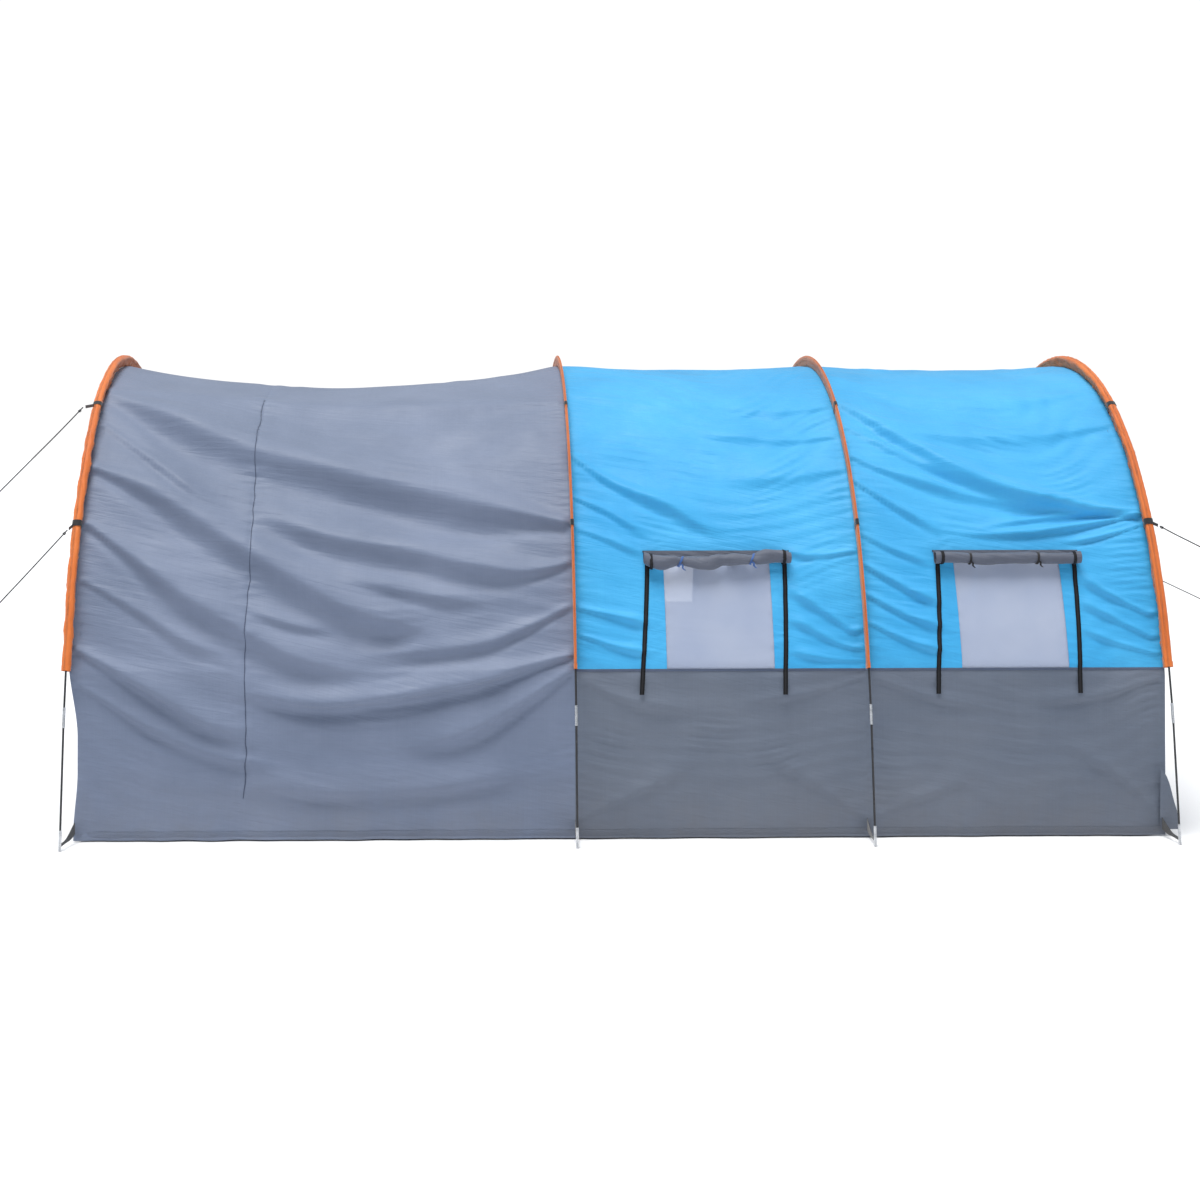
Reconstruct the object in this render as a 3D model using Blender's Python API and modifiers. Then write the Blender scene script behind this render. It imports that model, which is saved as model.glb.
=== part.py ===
"""Tunnel tent: four bent fibreglass arches in sewn sleeves carry a grey porch and two blue rooms.

X runs along the tunnel from the porch to the rear, Y across it, Z up. The origin is on the ground
under the middle of the tunnel. "near" is the -Y side and "far" the +Y side.
"""

import math

import bmesh
import bpy
from mathutils import Vector

# Overall sizes, in metres
TUNNEL_WIDTH = 3.10  # between the two feet of an arch, on the rod's centre line
TUNNEL_HEIGHT = 2.14  # ground to the rod's centre line at the ridge
PORCH_LENGTH = 2.20
MIDDLE_LENGTH = 1.28
REAR_LENGTH = 1.32

# Rods and their metal fittings
ROD_RADIUS = 0.00475
FERRULE_RADIUS = 0.0064
FERRULE_LOW = 0.51
FERRULE_HIGH = 0.595
TIP_RADIUS = 0.0064
TIP_LENGTH = 0.085
TIP_FLOOR = 0.010
STRAIGHT_FOOT = 0.102  # up to this height the rod is straight, so that it fits its tip
ROD_CLEARANCE = 0.0004

# Sleeves: an oval tube of cloth, deeper than it is wide
SLEEVE_HALF_WIDTH = 0.014
SLEEVE_HALF_DEPTH = 0.026
SLEEVE_CLOTH = 0.0015
SLEEVE_END = 0.755
ROD_UNDER_SLEEVE_EDGE = 0.010

# Cloth panels
CLOTH = 0.002
SLEEVE_TO_CLOTH = 0.0045
SEAM_GAP = 0.0006
SEAM_HEIGHT = 0.735
HEM_HEIGHT = 0.03
HEM_INSET = 0.16
PORCH_SAG = 0.115
PORCH_SIDE_SHARE = 0.35
ROOM_SAG = 0.02
ROOM_SAG_START = 1.30
GROUNDSHEET = 0.004
GROUNDSHEET_MARGIN = 0.012

# Windows and their rolled covers
WINDOW_WIDTH = 0.475
WINDOW_TOP = 1.195
COVER_WIDTH = 0.66
COVER_HEIGHT = 1.215
COVER_RADIUS = 0.027
COVER_CLEARANCE = 0.005
COVER_ROUNDING = 0.006

# End walls and doors
END_WALL_INSET = 0.045
END_WALL_GAP = 0.004
DOOR_WIDTH = 1.22
DOOR_BOTTOM = 0.12
DOOR_TOP = TUNNEL_HEIGHT - 0.40
DOOR_CORNER = 0.38
DOOR_GAP = 0.006
SLIDER_SIZE = (0.008, 0.014, 0.034)
SLIDER_GAP = 0.0005
SLIDER_HEIGHT = 0.20

# Guy lines: the routes run from the loop on the sleeve to the eye at the far end
LINE_RADIUS = 0.002
LOOP_CLOTH = 0.002
LOOP_GAP = 0.0006
LOOP_LENGTH = 0.022
EYE_RADIUS = 0.014
EYE_GAP = 0.001
LOOP_HIGH = TUNNEL_HEIGHT - 0.255
LOOP_LOW = TUNNEL_HEIGHT - 0.78
LINE_ROUTES = {
    "front_high": [(-2.43, -0.922, 1.884), (-2.53, -0.975, 1.768), (-2.63, -1.030, 1.656),
                   (-2.73, -1.085, 1.544), (-2.83, -1.140, 1.433)],
    "front_low": [(-2.43, -1.258, 1.343), (-2.52, -1.299, 1.238), (-2.61, -1.340, 1.134),
                  (-2.70, -1.382, 1.031), (-2.78, -1.418, 0.939)],
    "rear_near": [(2.43, -1.250, 1.352), (2.50, -1.243, 1.316), (2.57, -1.237, 1.282),
                  (2.64, -1.231, 1.248), (2.71, -1.225, 1.214)],
    "rear_far": [(2.43, 1.250, 1.352), (2.74, 1.222, 1.196), (3.05, 1.194, 1.044),
                 (3.36, 1.166, 0.893), (3.69, 1.136, 0.735)],
}

# Fineness
TABLE_STEPS = 600
ARCH_STEPS = 15
SHORTEST_STEP = 0.3 / ARCH_STEPS  # a step of t shorter than this is left out
BISECTIONS = 50
BAY_STEPS = 4
OVAL_SIDES = 8
ROUND_SIDES = 12
CORNER_STEPS = 6
LINE_STEPS = 5
EYE_SIDES = (16, 6)
SHARP_ANGLE = math.radians(40)

TOTAL_LENGTH = PORCH_LENGTH + MIDDLE_LENGTH + REAR_LENGTH
ARCH_X = {
    "a": -TOTAL_LENGTH / 2,
    "b": -TOTAL_LENGTH / 2 + PORCH_LENGTH,
    "c": TOTAL_LENGTH / 2 - REAR_LENGTH,
    "d": TOTAL_LENGTH / 2,
}
SIDES = {"near": -1, "far": 1}
SLEEVE_DEPTH = SLEEVE_HALF_DEPTH - ROD_UNDER_SLEEVE_EDGE
CLOTH_DEPTH = SLEEVE_DEPTH + SLEEVE_HALF_DEPTH + SLEEVE_TO_CLOTH
INNER_DEPTH = CLOTH_DEPTH + CLOTH
FOOT_LEAN_LIMIT = 0.95

MATERIALS = {
    "fibreglass": ((0.02, 0.02, 0.022), 0.35, 0.0),
    "steel": ((0.75, 0.76, 0.78), 0.3, 1.0),
    "orange_cloth": ((0.85, 0.22, 0.05), 0.7, 0.0),
    "grey_cloth": ((0.20, 0.22, 0.30), 0.75, 0.0),
    "blue_cloth": ((0.03, 0.30, 0.68), 0.7, 0.0),
    "net": ((0.62, 0.63, 0.70), 0.8, 0.0),
    "cover_cloth": ((0.18, 0.18, 0.22), 0.75, 0.0),
    "floor_cloth": ((0.16, 0.17, 0.20), 0.6, 0.0),
    "webbing": ((0.015, 0.015, 0.017), 0.8, 0.0),
}


def clear_scene():
    for item in list(bpy.data.objects):
        bpy.data.objects.remove(item, do_unlink=True)


def make_collection(name):
    collection = bpy.data.collections.new(name)
    bpy.context.scene.collection.children.link(collection)
    return collection


def make_materials():
    made = {}
    for name, (colour, roughness, metallic) in MATERIALS.items():
        material = bpy.data.materials.new(name)
        material.use_nodes = True
        shader = material.node_tree.nodes["Principled BSDF"]
        shader.inputs["Base Color"].default_value = (*colour, 1.0)
        shader.inputs["Roughness"].default_value = roughness
        shader.inputs["Metallic"].default_value = metallic
        made[name] = material
    return made


# ---- The bent rod ---------------------------------------------------------------------------


def rod_lean(foot_lean, t):
    """Sine of the rod's angle from upright, at height TUNNEL_HEIGHT * (1 - t * t)."""
    height = 1 - t * t
    return foot_lean + (1 - foot_lean) * height * height


def half_span(foot_lean):
    """Distance across from the foot to the ridge, for a rod that is flexed into an arch."""
    total = 0.0
    for step in range(TABLE_STEPS):
        t = (step + 0.5) / TABLE_STEPS
        lean = rod_lean(foot_lean, t)
        total += 2 * t * lean / math.sqrt(1 - lean * lean)
    return total * TUNNEL_HEIGHT / TABLE_STEPS


def solve_foot_lean():
    low, high = -FOOT_LEAN_LIMIT, FOOT_LEAN_LIMIT
    for _ in range(BISECTIONS):
        middle = (low + high) / 2
        if half_span(middle) < TUNNEL_WIDTH / 2:
            low = middle
        else:
            high = middle
    return (low + high) / 2


FOOT_LEAN = solve_foot_lean()


def rod_table():
    """Distance across at each step of t, from the foot (t = 1) to the ridge (t = 0)."""
    across = [TUNNEL_WIDTH / 2]
    for step in range(TABLE_STEPS):
        t = 1 - (step + 0.5) / TABLE_STEPS
        lean = rod_lean(FOOT_LEAN, t)
        slope = 2 * t * lean / math.sqrt(1 - lean * lean)
        across.append(across[-1] - slope * TUNNEL_HEIGHT / TABLE_STEPS)
    return across


ROD_TABLE = rod_table()


def inset_point(t, depth):
    """(across, up) of the point that lies depth inside the rod, on the far side."""
    place = (1 - t) * TABLE_STEPS
    index = min(int(place), TABLE_STEPS - 1)
    share = place - index
    across = ROD_TABLE[index] * (1 - share) + ROD_TABLE[index + 1] * share
    lean = rod_lean(FOOT_LEAN, t)
    upright = math.sqrt(max(0.0, 1 - lean * lean))
    return across - depth * upright, TUNNEL_HEIGHT * (1 - t * t) - depth * lean


def t_at_height(height, depth):
    low, high = 0.0, 1.0
    for _ in range(BISECTIONS):
        middle = (low + high) / 2
        if inset_point(middle, depth)[1] > height:
            low = middle
        else:
            high = middle
    return (low + high) / 2


def arch_stations(height, depth):
    """Steps of t from the given height up to the ridge. All depths share the inner steps."""
    first = t_at_height(height, depth)
    inner = [step / ARCH_STEPS for step in range(ARCH_STEPS, -1, -1)]
    return [first] + [t for t in inner if t < first - SHORTEST_STEP]


def whole_line(half):
    """A line from the near side over the ridge, from its far half as (across, up) pairs."""
    near = [(-across, up) for across, up in half]
    return near + [point for point in reversed(half[:-1])]


# ---- Mesh helpers ---------------------------------------------------------------------------


class Kit:
    """The collections and materials that every piece goes into."""

    parts = None
    cutters = None
    materials = None


def finish_object(item, material, smooth=True):
    for collection in list(item.users_collection):
        collection.objects.unlink(item)
    Kit.parts.objects.link(item)
    item.data.materials.append(Kit.materials[material])
    if smooth and item.type == "MESH":
        item.data.shade_smooth()
        item.data.set_sharp_from_angle(angle=SHARP_ANGLE)
    return item


def lofted_mesh(name, rows, closed=False):
    """A skin through rows of points. A closed row joins its last point to its first."""
    mesh = bpy.data.meshes.new(name)
    build = bmesh.new()
    grid = [[build.verts.new(point) for point in row] for row in rows]
    for below, above in zip(grid, grid[1:]):
        count = len(below)
        for index in range(count if closed else count - 1):
            following = (index + 1) % count
            build.faces.new((below[index], above[index], above[following], below[following]))
    build.to_mesh(mesh)
    build.free()
    return bpy.data.objects.new(name, mesh)


def thicken(item, thickness):
    """Grow the skin to a solid, away from the side its faces look to."""
    solidify = item.modifiers.new("cloth", "SOLIDIFY")
    solidify.thickness = thickness
    solidify.offset = -1
    solidify.use_even_offset = True
    return item


def cut(item, cutter):
    boolean = item.modifiers.new("cut", "BOOLEAN")
    boolean.operation = "DIFFERENCE"
    boolean.solver = "EXACT"
    boolean.object = cutter


def box_cutter(name, low, high):
    bpy.ops.mesh.primitive_cube_add(size=1)
    item = bpy.context.object
    item.name = name
    item.dimensions = [b - a for a, b in zip(low, high)]
    item.location = [(a + b) / 2 for a, b in zip(low, high)]
    bpy.ops.object.transform_apply(location=False, rotation=False, scale=True)
    for collection in list(item.users_collection):
        collection.objects.unlink(item)
    Kit.cutters.objects.link(item)
    item.hide_render = True
    item.display_type = "WIRE"
    return item


def tube_along(name, points, radius, material, sides_setting=2):
    curve = bpy.data.curves.new(name, "CURVE")
    curve.dimensions = "3D"
    curve.bevel_depth = radius
    curve.bevel_resolution = sides_setting
    curve.use_fill_caps = True
    spline = curve.splines.new("POLY")
    spline.points.add(len(points) - 1)
    for place, point in zip(spline.points, points):
        place.co = (*point, 1.0)
    return finish_object(bpy.data.objects.new(name, curve), material)


def turned(name, profile, material, start, direction):
    """A profile of (radius, height) pairs turned about its axis, set at start along direction."""
    mesh = bpy.data.meshes.new(name)
    build = bmesh.new()
    corners = [build.verts.new((radius, 0, height)) for radius, height in profile]
    for first, second in zip(corners, corners[1:]):
        build.edges.new((first, second))
    build.to_mesh(mesh)
    build.free()
    item = bpy.data.objects.new(name, mesh)
    screw = item.modifiers.new("turn", "SCREW")
    screw.steps = ROUND_SIDES
    screw.render_steps = ROUND_SIDES
    screw.use_merge_vertices = True
    screw.merge_threshold = 0.00005
    item.location = start
    item.rotation_mode = "QUATERNION"
    item.rotation_quaternion = Vector(direction).to_track_quat("Z", "Y")
    return finish_object(item, material)


def flat_plate(name, outlines, x, thickness, material):
    """A plate upright across the tunnel: outlines are closed lists of (y, z)."""
    curve = bpy.data.curves.new(name, "CURVE")
    curve.dimensions = "2D"
    curve.fill_mode = "BOTH"
    curve.extrude = thickness / 2
    for outline in outlines:
        spline = curve.splines.new("POLY")
        spline.points.add(len(outline) - 1)
        spline.use_cyclic_u = True
        for place, (y, z) in zip(spline.points, outline):
            place.co = (y, z, 0, 1)
    item = bpy.data.objects.new(name, curve)
    item.location = (x, 0, 0)
    item.rotation_euler = (math.radians(90), 0, math.radians(90))
    return finish_object(item, material)


# ---- Arches ---------------------------------------------------------------------------------


def rod_point(height):
    across, up = inset_point(t_at_height(height, 0), 0)
    return across, up


def rod_half():
    """The rod from inside the tip up to the ridge, straight through the tip and the ferrule."""
    foot = Vector(rod_point(0.0))
    tip_top = Vector(rod_point(STRAIGHT_FOOT))
    start = foot + (tip_top - foot).normalized() * (TIP_FLOOR + ROD_CLEARANCE)
    lower = [tuple(start), tuple(tip_top), rod_point(FERRULE_LOW - FERRULE_RADIUS)]
    lower.append(rod_point(FERRULE_HIGH + FERRULE_RADIUS))
    upper = [inset_point(t, 0) for t in arch_stations(FERRULE_HIGH + FERRULE_RADIUS, 0)[1:]]
    return lower + upper


def build_rod(arch):
    points = [(ARCH_X[arch], across, up) for across, up in whole_line(rod_half())]
    tube_along(f"rod_{arch}", points, ROD_RADIUS, "fibreglass")


def ring_profile(inner, outer, length):
    return [(outer, length), (outer, 0), (inner, 0), (inner, length), (outer, length)]


def build_ferrule(arch, side):
    low = rod_point(FERRULE_LOW)
    high = rod_point(FERRULE_HIGH)
    sign = SIDES[side]
    start = Vector((ARCH_X[arch], sign * low[0], low[1]))
    end = Vector((ARCH_X[arch], sign * high[0], high[1]))
    profile = ring_profile(ROD_RADIUS + ROD_CLEARANCE, FERRULE_RADIUS, (end - start).length)
    turned(f"ferrule_{arch}_{side}", profile, "steel", start, end - start)


def build_tip(arch, side):
    """A metal cup on the end of the rod, standing on the ground."""
    foot = rod_point(0.0)
    above = rod_point(STRAIGHT_FOOT)
    sign = SIDES[side]
    direction = Vector((0, sign * (above[0] - foot[0]), above[1])).normalized()
    lift = TIP_RADIUS * abs(direction.y) / direction.z
    start = Vector((ARCH_X[arch], sign * foot[0], 0)) + direction * lift
    bore = ROD_RADIUS + ROD_CLEARANCE
    profile = [(bore, TIP_LENGTH), (TIP_RADIUS, TIP_LENGTH), (TIP_RADIUS, 0), (0, 0)]
    floor = TIP_FLOOR - lift
    inside = [(0, floor), (bore, floor), (bore, TIP_LENGTH)]
    turned(f"tip_{arch}_{side}", profile + inside, "steel", start, direction)


def oval_rows(line, x, half_width, half_depth):
    """Rings of points round a line of (across, up) that lies in the plane of an arch."""
    rows = []
    for index, (across, up) in enumerate(line):
        before = Vector(line[max(index - 1, 0)])
        after = Vector(line[min(index + 1, len(line) - 1)])
        along = (after - before).normalized()
        inward = Vector((along.y, -along.x))
        ring = []
        for side in range(OVAL_SIDES):
            angle = 2 * math.pi * side / OVAL_SIDES
            depth = half_depth * math.cos(angle)
            shift = half_width * math.sin(angle)
            ring.append((x + shift, across + inward.x * depth, up + inward.y * depth))
        rows.append(ring)
    return rows


def build_sleeve(arch):
    stations = arch_stations(SLEEVE_END, SLEEVE_DEPTH)
    line = whole_line([inset_point(t, SLEEVE_DEPTH) for t in stations])
    rows = oval_rows(line, ARCH_X[arch], SLEEVE_HALF_WIDTH, SLEEVE_HALF_DEPTH)
    item = lofted_mesh(f"sleeve_{arch}", rows, closed=True)
    finish_object(thicken(item, SLEEVE_CLOTH), "orange_cloth")


# ---- Cloth panels ---------------------------------------------------------------------------


def sag_depth(bay, share, up):
    """How far the cloth hangs in between two arches, at a share of the way from one to the other."""
    bow = 4 * share * (1 - share)
    if bay == "porch":
        rise = max(0.0, up / TUNNEL_HEIGHT)
        return PORCH_SAG * bow * (PORCH_SIDE_SHARE * math.sin(math.pi * rise) + rise**4)
    rise = max(0.0, (up - ROOM_SAG_START) / (TUNNEL_HEIGHT - ROOM_SAG_START))
    return ROOM_SAG * bow * rise


def lower_wall(depth):
    """The upright stretch from the hem to the seam, as (across, up) on the far side."""
    seam = inset_point(t_at_height(SEAM_HEIGHT, depth), depth)
    hem = (TUNNEL_WIDTH / 2 - HEM_INSET - (depth - CLOTH_DEPTH), HEM_HEIGHT)
    return hem, seam


def cloth_half(bay, share, low, depth=CLOTH_DEPTH):
    """Half of the tunnel's section, from a height up to the ridge."""
    hem, seam = lower_wall(depth)
    line = []
    if low < SEAM_HEIGHT:
        line.append(hem)
    start = max(low, SEAM_HEIGHT)
    for t in arch_stations(start, depth):
        height = inset_point(t, depth)[1]
        line.append(inset_point(t, depth + sag_depth(bay, share, height)))
    line[-1] = (0.0, line[-1][1])
    return line


def bay_ends(bay):
    first, last = {"porch": ("a", "b"), "middle": ("b", "c"), "rear": ("c", "d")}[bay]
    low = ARCH_X[first] + (0 if first == "a" else SEAM_GAP)
    high = ARCH_X[last] - (0 if last == "d" else SEAM_GAP)
    return low, high


def build_porch():
    low, high = bay_ends("porch")
    rows = []
    for step in range(BAY_STEPS + 1):
        share = step / BAY_STEPS
        x = low + (high - low) * share
        line = whole_line(cloth_half("porch", share, HEM_HEIGHT))
        rows.append([(x, across, up) for across, up in line])
    item = lofted_mesh("porch_canopy", rows)
    finish_object(thicken(item, CLOTH), "grey_cloth")


def window_span(bay):
    low, high = bay_ends(bay)
    middle = (low + high) / 2
    return middle - WINDOW_WIDTH / 2, middle + WINDOW_WIDTH / 2


def build_room_canopy(bay):
    low, high = bay_ends(bay)
    rows = []
    for step in range(BAY_STEPS + 1):
        share = step / BAY_STEPS
        x = low + (high - low) * share
        line = whole_line(cloth_half(bay, share, SEAM_HEIGHT + SEAM_GAP))
        rows.append([(x, across, up) for across, up in line])
    item = lofted_mesh(f"{bay}_canopy", rows)
    thicken(item, CLOTH)
    left, right = window_span(bay)
    below = SEAM_HEIGHT - COVER_RADIUS
    reach = TUNNEL_WIDTH
    cutter = box_cutter(f"{bay}_windows", (left, -reach, below), (right, reach, WINDOW_TOP))
    cut(item, cutter)
    finish_object(item, "blue_cloth")


def build_lower_wall(bay, side):
    low, high = bay_ends(bay)
    hem, seam = lower_wall(CLOTH_DEPTH)
    sign = SIDES[side]
    rows = [[(x, sign * hem[0], hem[1]), (x, sign * seam[0], seam[1] - SEAM_GAP)] for x in (low, high)]
    if sign > 0:
        rows = [list(reversed(row)) for row in rows]
    item = lofted_mesh(f"{bay}_wall_{side}", rows)
    finish_object(thicken(item, CLOTH), "grey_cloth", smooth=False)


def build_window(bay, side):
    left, right = window_span(bay)
    stations = arch_stations(SEAM_HEIGHT + SEAM_GAP, CLOTH_DEPTH)
    top = t_at_height(WINDOW_TOP - SEAM_GAP, CLOTH_DEPTH)
    line = [inset_point(t, CLOTH_DEPTH) for t in stations if t > top + SHORTEST_STEP]
    line.append(inset_point(top, CLOTH_DEPTH))
    sign = SIDES[side]
    rows = [[(x, sign * across, up) for across, up in line] for x in (left + SEAM_GAP, right - SEAM_GAP)]
    if sign > 0:
        rows = [list(reversed(row)) for row in rows]
    item = lofted_mesh(f"{bay}_window_{side}", rows)
    finish_object(thicken(item, CLOTH), "net")


def build_cover(bay, side):
    """The window's cover, rolled up above it."""
    depth = CLOTH_DEPTH - COVER_CLEARANCE - COVER_RADIUS
    across, up = inset_point(t_at_height(COVER_HEIGHT, depth), depth)
    middle = sum(window_span(bay)) / 2
    bpy.ops.mesh.primitive_cylinder_add(vertices=ROUND_SIDES, radius=COVER_RADIUS, depth=COVER_WIDTH)
    item = bpy.context.object
    item.name = f"{bay}_cover_{side}"
    item.location = (middle, SIDES[side] * across, up)
    item.rotation_euler = (0, math.radians(90), 0)
    bevel = item.modifiers.new("rounding", "BEVEL")
    bevel.width = COVER_ROUNDING
    bevel.segments = 2
    bevel.limit_method = "ANGLE"
    bevel.angle_limit = SHARP_ANGLE
    finish_object(item, "cover_cloth")


def build_groundsheet():
    margin = GROUNDSHEET_MARGIN
    low = ARCH_X["b"] + margin
    high = ARCH_X["d"] - END_WALL_INSET - CLOTH - margin
    reach = TUNNEL_WIDTH / 2 - HEM_INSET - CLOTH - margin
    bpy.ops.mesh.primitive_cube_add(size=1)
    item = bpy.context.object
    item.name = "groundsheet"
    item.dimensions = (high - low, 2 * reach, GROUNDSHEET)
    item.location = ((low + high) / 2, 0, GROUNDSHEET / 2)
    bpy.ops.object.transform_apply(location=False, rotation=False, scale=True)
    finish_object(item, "floor_cloth", smooth=False)


# ---- End walls ------------------------------------------------------------------------------


def door_outline(grow):
    """The door's outline with round upper corners, grown outwards, as (y, z)."""
    half = DOOR_WIDTH / 2 + grow
    low = DOOR_BOTTOM - grow
    high = DOOR_TOP + grow
    radius = DOOR_CORNER + grow
    corner = []
    for step in range(CORNER_STEPS + 1):
        angle = math.pi / 2 * step / CORNER_STEPS
        y = half - radius + radius * math.cos(angle)
        corner.append((y, high - radius + radius * math.sin(angle)))
    right = [(half, low)] + corner
    return right + [(-y, z) for y, z in reversed(right)]


def end_wall_outline(arch):
    """The inside of the tunnel where the end wall stands, less a gap."""
    bay, length, share = ("porch", PORCH_LENGTH, 0) if arch == "a" else ("rear", REAR_LENGTH, 1)
    share = abs(share - END_WALL_INSET / length)
    return whole_line(cloth_half(bay, share, HEM_HEIGHT, INNER_DEPTH + END_WALL_GAP))


def end_wall_x(arch):
    sign = 1 if arch == "d" else -1
    return ARCH_X[arch] - sign * END_WALL_INSET


def build_end_wall(name, arch, material):
    outlines = [end_wall_outline(arch), door_outline(DOOR_GAP)]
    flat_plate(f"{name}_wall", outlines, end_wall_x(arch), CLOTH, material)


def build_door(name, arch, material):
    flat_plate(f"{name}_door", [door_outline(0)], end_wall_x(arch), CLOTH, material)


def build_slider(name, arch):
    """The zip's slider, on the wall beside the door's free edge."""
    sign = 1 if arch == "d" else -1
    thick, wide, tall = SLIDER_SIZE
    x = end_wall_x(arch) + sign * (CLOTH / 2 + SLIDER_GAP + thick / 2)
    y = -(DOOR_WIDTH / 2 + DOOR_GAP + wide / 2)
    bpy.ops.mesh.primitive_cube_add(size=1)
    item = bpy.context.object
    item.name = f"{name}_zip_slider"
    item.dimensions = SLIDER_SIZE
    item.location = (x, y, SLIDER_HEIGHT + tall / 2)
    bpy.ops.object.transform_apply(location=False, rotation=False, scale=True)
    bevel = item.modifiers.new("rounding", "BEVEL")
    bevel.width = thick / 4
    bevel.segments = 1
    finish_object(item, "steel")


# ---- Guy lines ------------------------------------------------------------------------------


def loop_ends(height):
    """The two ends of a loop on the straight stretch of sleeve at a height, on the far side."""
    stations = arch_stations(SLEEVE_END, SLEEVE_DEPTH)
    line = [Vector(inset_point(t, SLEEVE_DEPTH)) for t in stations]
    low, high = next(pair for pair in zip(line, line[1:]) if pair[1].y > height)
    room = (LOOP_LENGTH / 2 + 2 * LOOP_CLOTH) / (high - low).length
    share = min(max((height - low.y) / (high.y - low.y), room), 1 - room)
    centre = low.lerp(high, share)
    along = (high - low).normalized() * LOOP_LENGTH / 2
    return centre - along, centre + along


def build_line_loop(name, arch, side, height):
    """A band of webbing round the sleeve, where a guy line is tied."""
    sign = SIDES[side]
    ends = [(sign * point.x, point.y) for point in loop_ends(height)]
    if sign > 0:
        ends.reverse()
    grow = LOOP_GAP + LOOP_CLOTH
    rows = oval_rows(ends, ARCH_X[arch], SLEEVE_HALF_WIDTH + grow, SLEEVE_HALF_DEPTH + grow)
    item = lofted_mesh(f"loop_{name}", rows, closed=True)
    finish_object(thicken(item, LOOP_CLOTH), "webbing")


def smooth_route(points):
    """A smooth curve through the route's own points."""
    points = [Vector(point) for point in points]
    ends = [points[0] * 2 - points[1]] + points + [points[-1] * 2 - points[-2]]
    route = []
    for a, b, c, d in zip(ends, ends[1:], ends[2:], ends[3:]):
        for step in range(LINE_STEPS):
            u = step / LINE_STEPS
            route.append(0.5 * (2 * b + (c - a) * u + (2 * a - 5 * b + 4 * c - d) * u * u
                                + (3 * b - a - 3 * c + d) * u**3))
    route.append(points[-1])
    return [tuple(point) for point in route]


def build_line(name, points):
    route = smooth_route(points)
    tube_along(f"line_{name}", route, LINE_RADIUS, "webbing", sides_setting=1)
    end = Vector(points[-1])
    direction = (end - Vector(points[-2])).normalized()
    centre = end + direction * (EYE_RADIUS + LINE_RADIUS + EYE_GAP)
    bpy.ops.mesh.primitive_torus_add(
        major_radius=EYE_RADIUS,
        minor_radius=LINE_RADIUS,
        major_segments=EYE_SIDES[0],
        minor_segments=EYE_SIDES[1],
    )
    item = bpy.context.object
    item.name = f"eye_{name}"
    item.location = centre
    item.rotation_mode = "QUATERNION"
    item.rotation_quaternion = direction.to_track_quat("X", "Z")
    finish_object(item, "webbing")


# ---- The tent -------------------------------------------------------------------------------


def build_arches():
    for arch in ARCH_X:
        build_rod(arch)
        build_sleeve(arch)
        for side in SIDES:
            build_ferrule(arch, side)
            build_tip(arch, side)


def build_rooms():
    for bay in ("middle", "rear"):
        build_room_canopy(bay)
        for side in SIDES:
            build_lower_wall(bay, side)
            build_window(bay, side)
            build_cover(bay, side)


def build_ends():
    for name, arch in (("front", "a"), ("rear", "d")):
        build_end_wall(name, arch, "grey_cloth")
        build_door(name, arch, "grey_cloth")
        build_slider(name, arch)


def build_guy_lines():
    build_line_loop("front_high", "a", "near", LOOP_HIGH)
    build_line_loop("front_low", "a", "near", LOOP_LOW)
    build_line_loop("rear_near", "d", "near", LOOP_LOW)
    build_line_loop("rear_far", "d", "far", LOOP_LOW)
    for name, points in LINE_ROUTES.items():
        build_line(name, points)


def main():
    clear_scene()
    Kit.parts = make_collection("tunnel_tent")
    Kit.cutters = make_collection("cutters")
    Kit.materials = make_materials()
    build_arches()
    build_porch()
    build_rooms()
    build_groundsheet()
    build_ends()
    build_guy_lines()


main()
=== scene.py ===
"""Tunnel tent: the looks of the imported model, every piece riding on a body of the frame."""

import math

import bpy
import numpy as np
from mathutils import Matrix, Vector


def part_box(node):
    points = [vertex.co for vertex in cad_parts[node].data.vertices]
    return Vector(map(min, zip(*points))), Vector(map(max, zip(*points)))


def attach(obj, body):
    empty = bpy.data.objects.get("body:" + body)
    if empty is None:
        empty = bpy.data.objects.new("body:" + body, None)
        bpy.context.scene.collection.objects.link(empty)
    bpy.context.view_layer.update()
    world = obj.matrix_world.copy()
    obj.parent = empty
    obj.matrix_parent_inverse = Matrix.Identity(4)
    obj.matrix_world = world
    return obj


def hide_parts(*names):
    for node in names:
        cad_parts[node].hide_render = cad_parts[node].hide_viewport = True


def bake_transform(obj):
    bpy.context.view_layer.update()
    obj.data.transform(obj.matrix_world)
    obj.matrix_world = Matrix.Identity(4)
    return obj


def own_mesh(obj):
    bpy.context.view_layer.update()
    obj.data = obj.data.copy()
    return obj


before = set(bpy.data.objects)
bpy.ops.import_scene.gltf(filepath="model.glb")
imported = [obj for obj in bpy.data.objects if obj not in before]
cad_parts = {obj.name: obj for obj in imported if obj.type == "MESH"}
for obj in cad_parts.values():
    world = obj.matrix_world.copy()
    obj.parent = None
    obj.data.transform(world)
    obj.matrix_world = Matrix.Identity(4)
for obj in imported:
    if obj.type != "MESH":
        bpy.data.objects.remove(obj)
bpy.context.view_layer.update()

# ---- Camera, first ----------------------------------------------------------------------------

camera_data = bpy.data.cameras.new("camera")
camera_data.lens = 54.13
camera_data.sensor_width = 36.0
camera_data.shift_x = 0.0833
camera_data.shift_y = -0.159
camera = bpy.data.objects.new("camera", camera_data)
camera.location = (-0.7245, -9.2482, 1.8753)
camera.rotation_euler = (math.pi / 2, 0, -0.0251)
bpy.context.scene.collection.objects.link(camera)
bpy.context.scene.camera = camera

# ---- Sizes, read from the frame ---------------------------------------------------------------


def span(node, axis):
    low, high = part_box(node)
    return float(high[axis] - low[axis])


def middle(node, axis):
    low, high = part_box(node)
    return float(low[axis] + high[axis]) / 2


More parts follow.
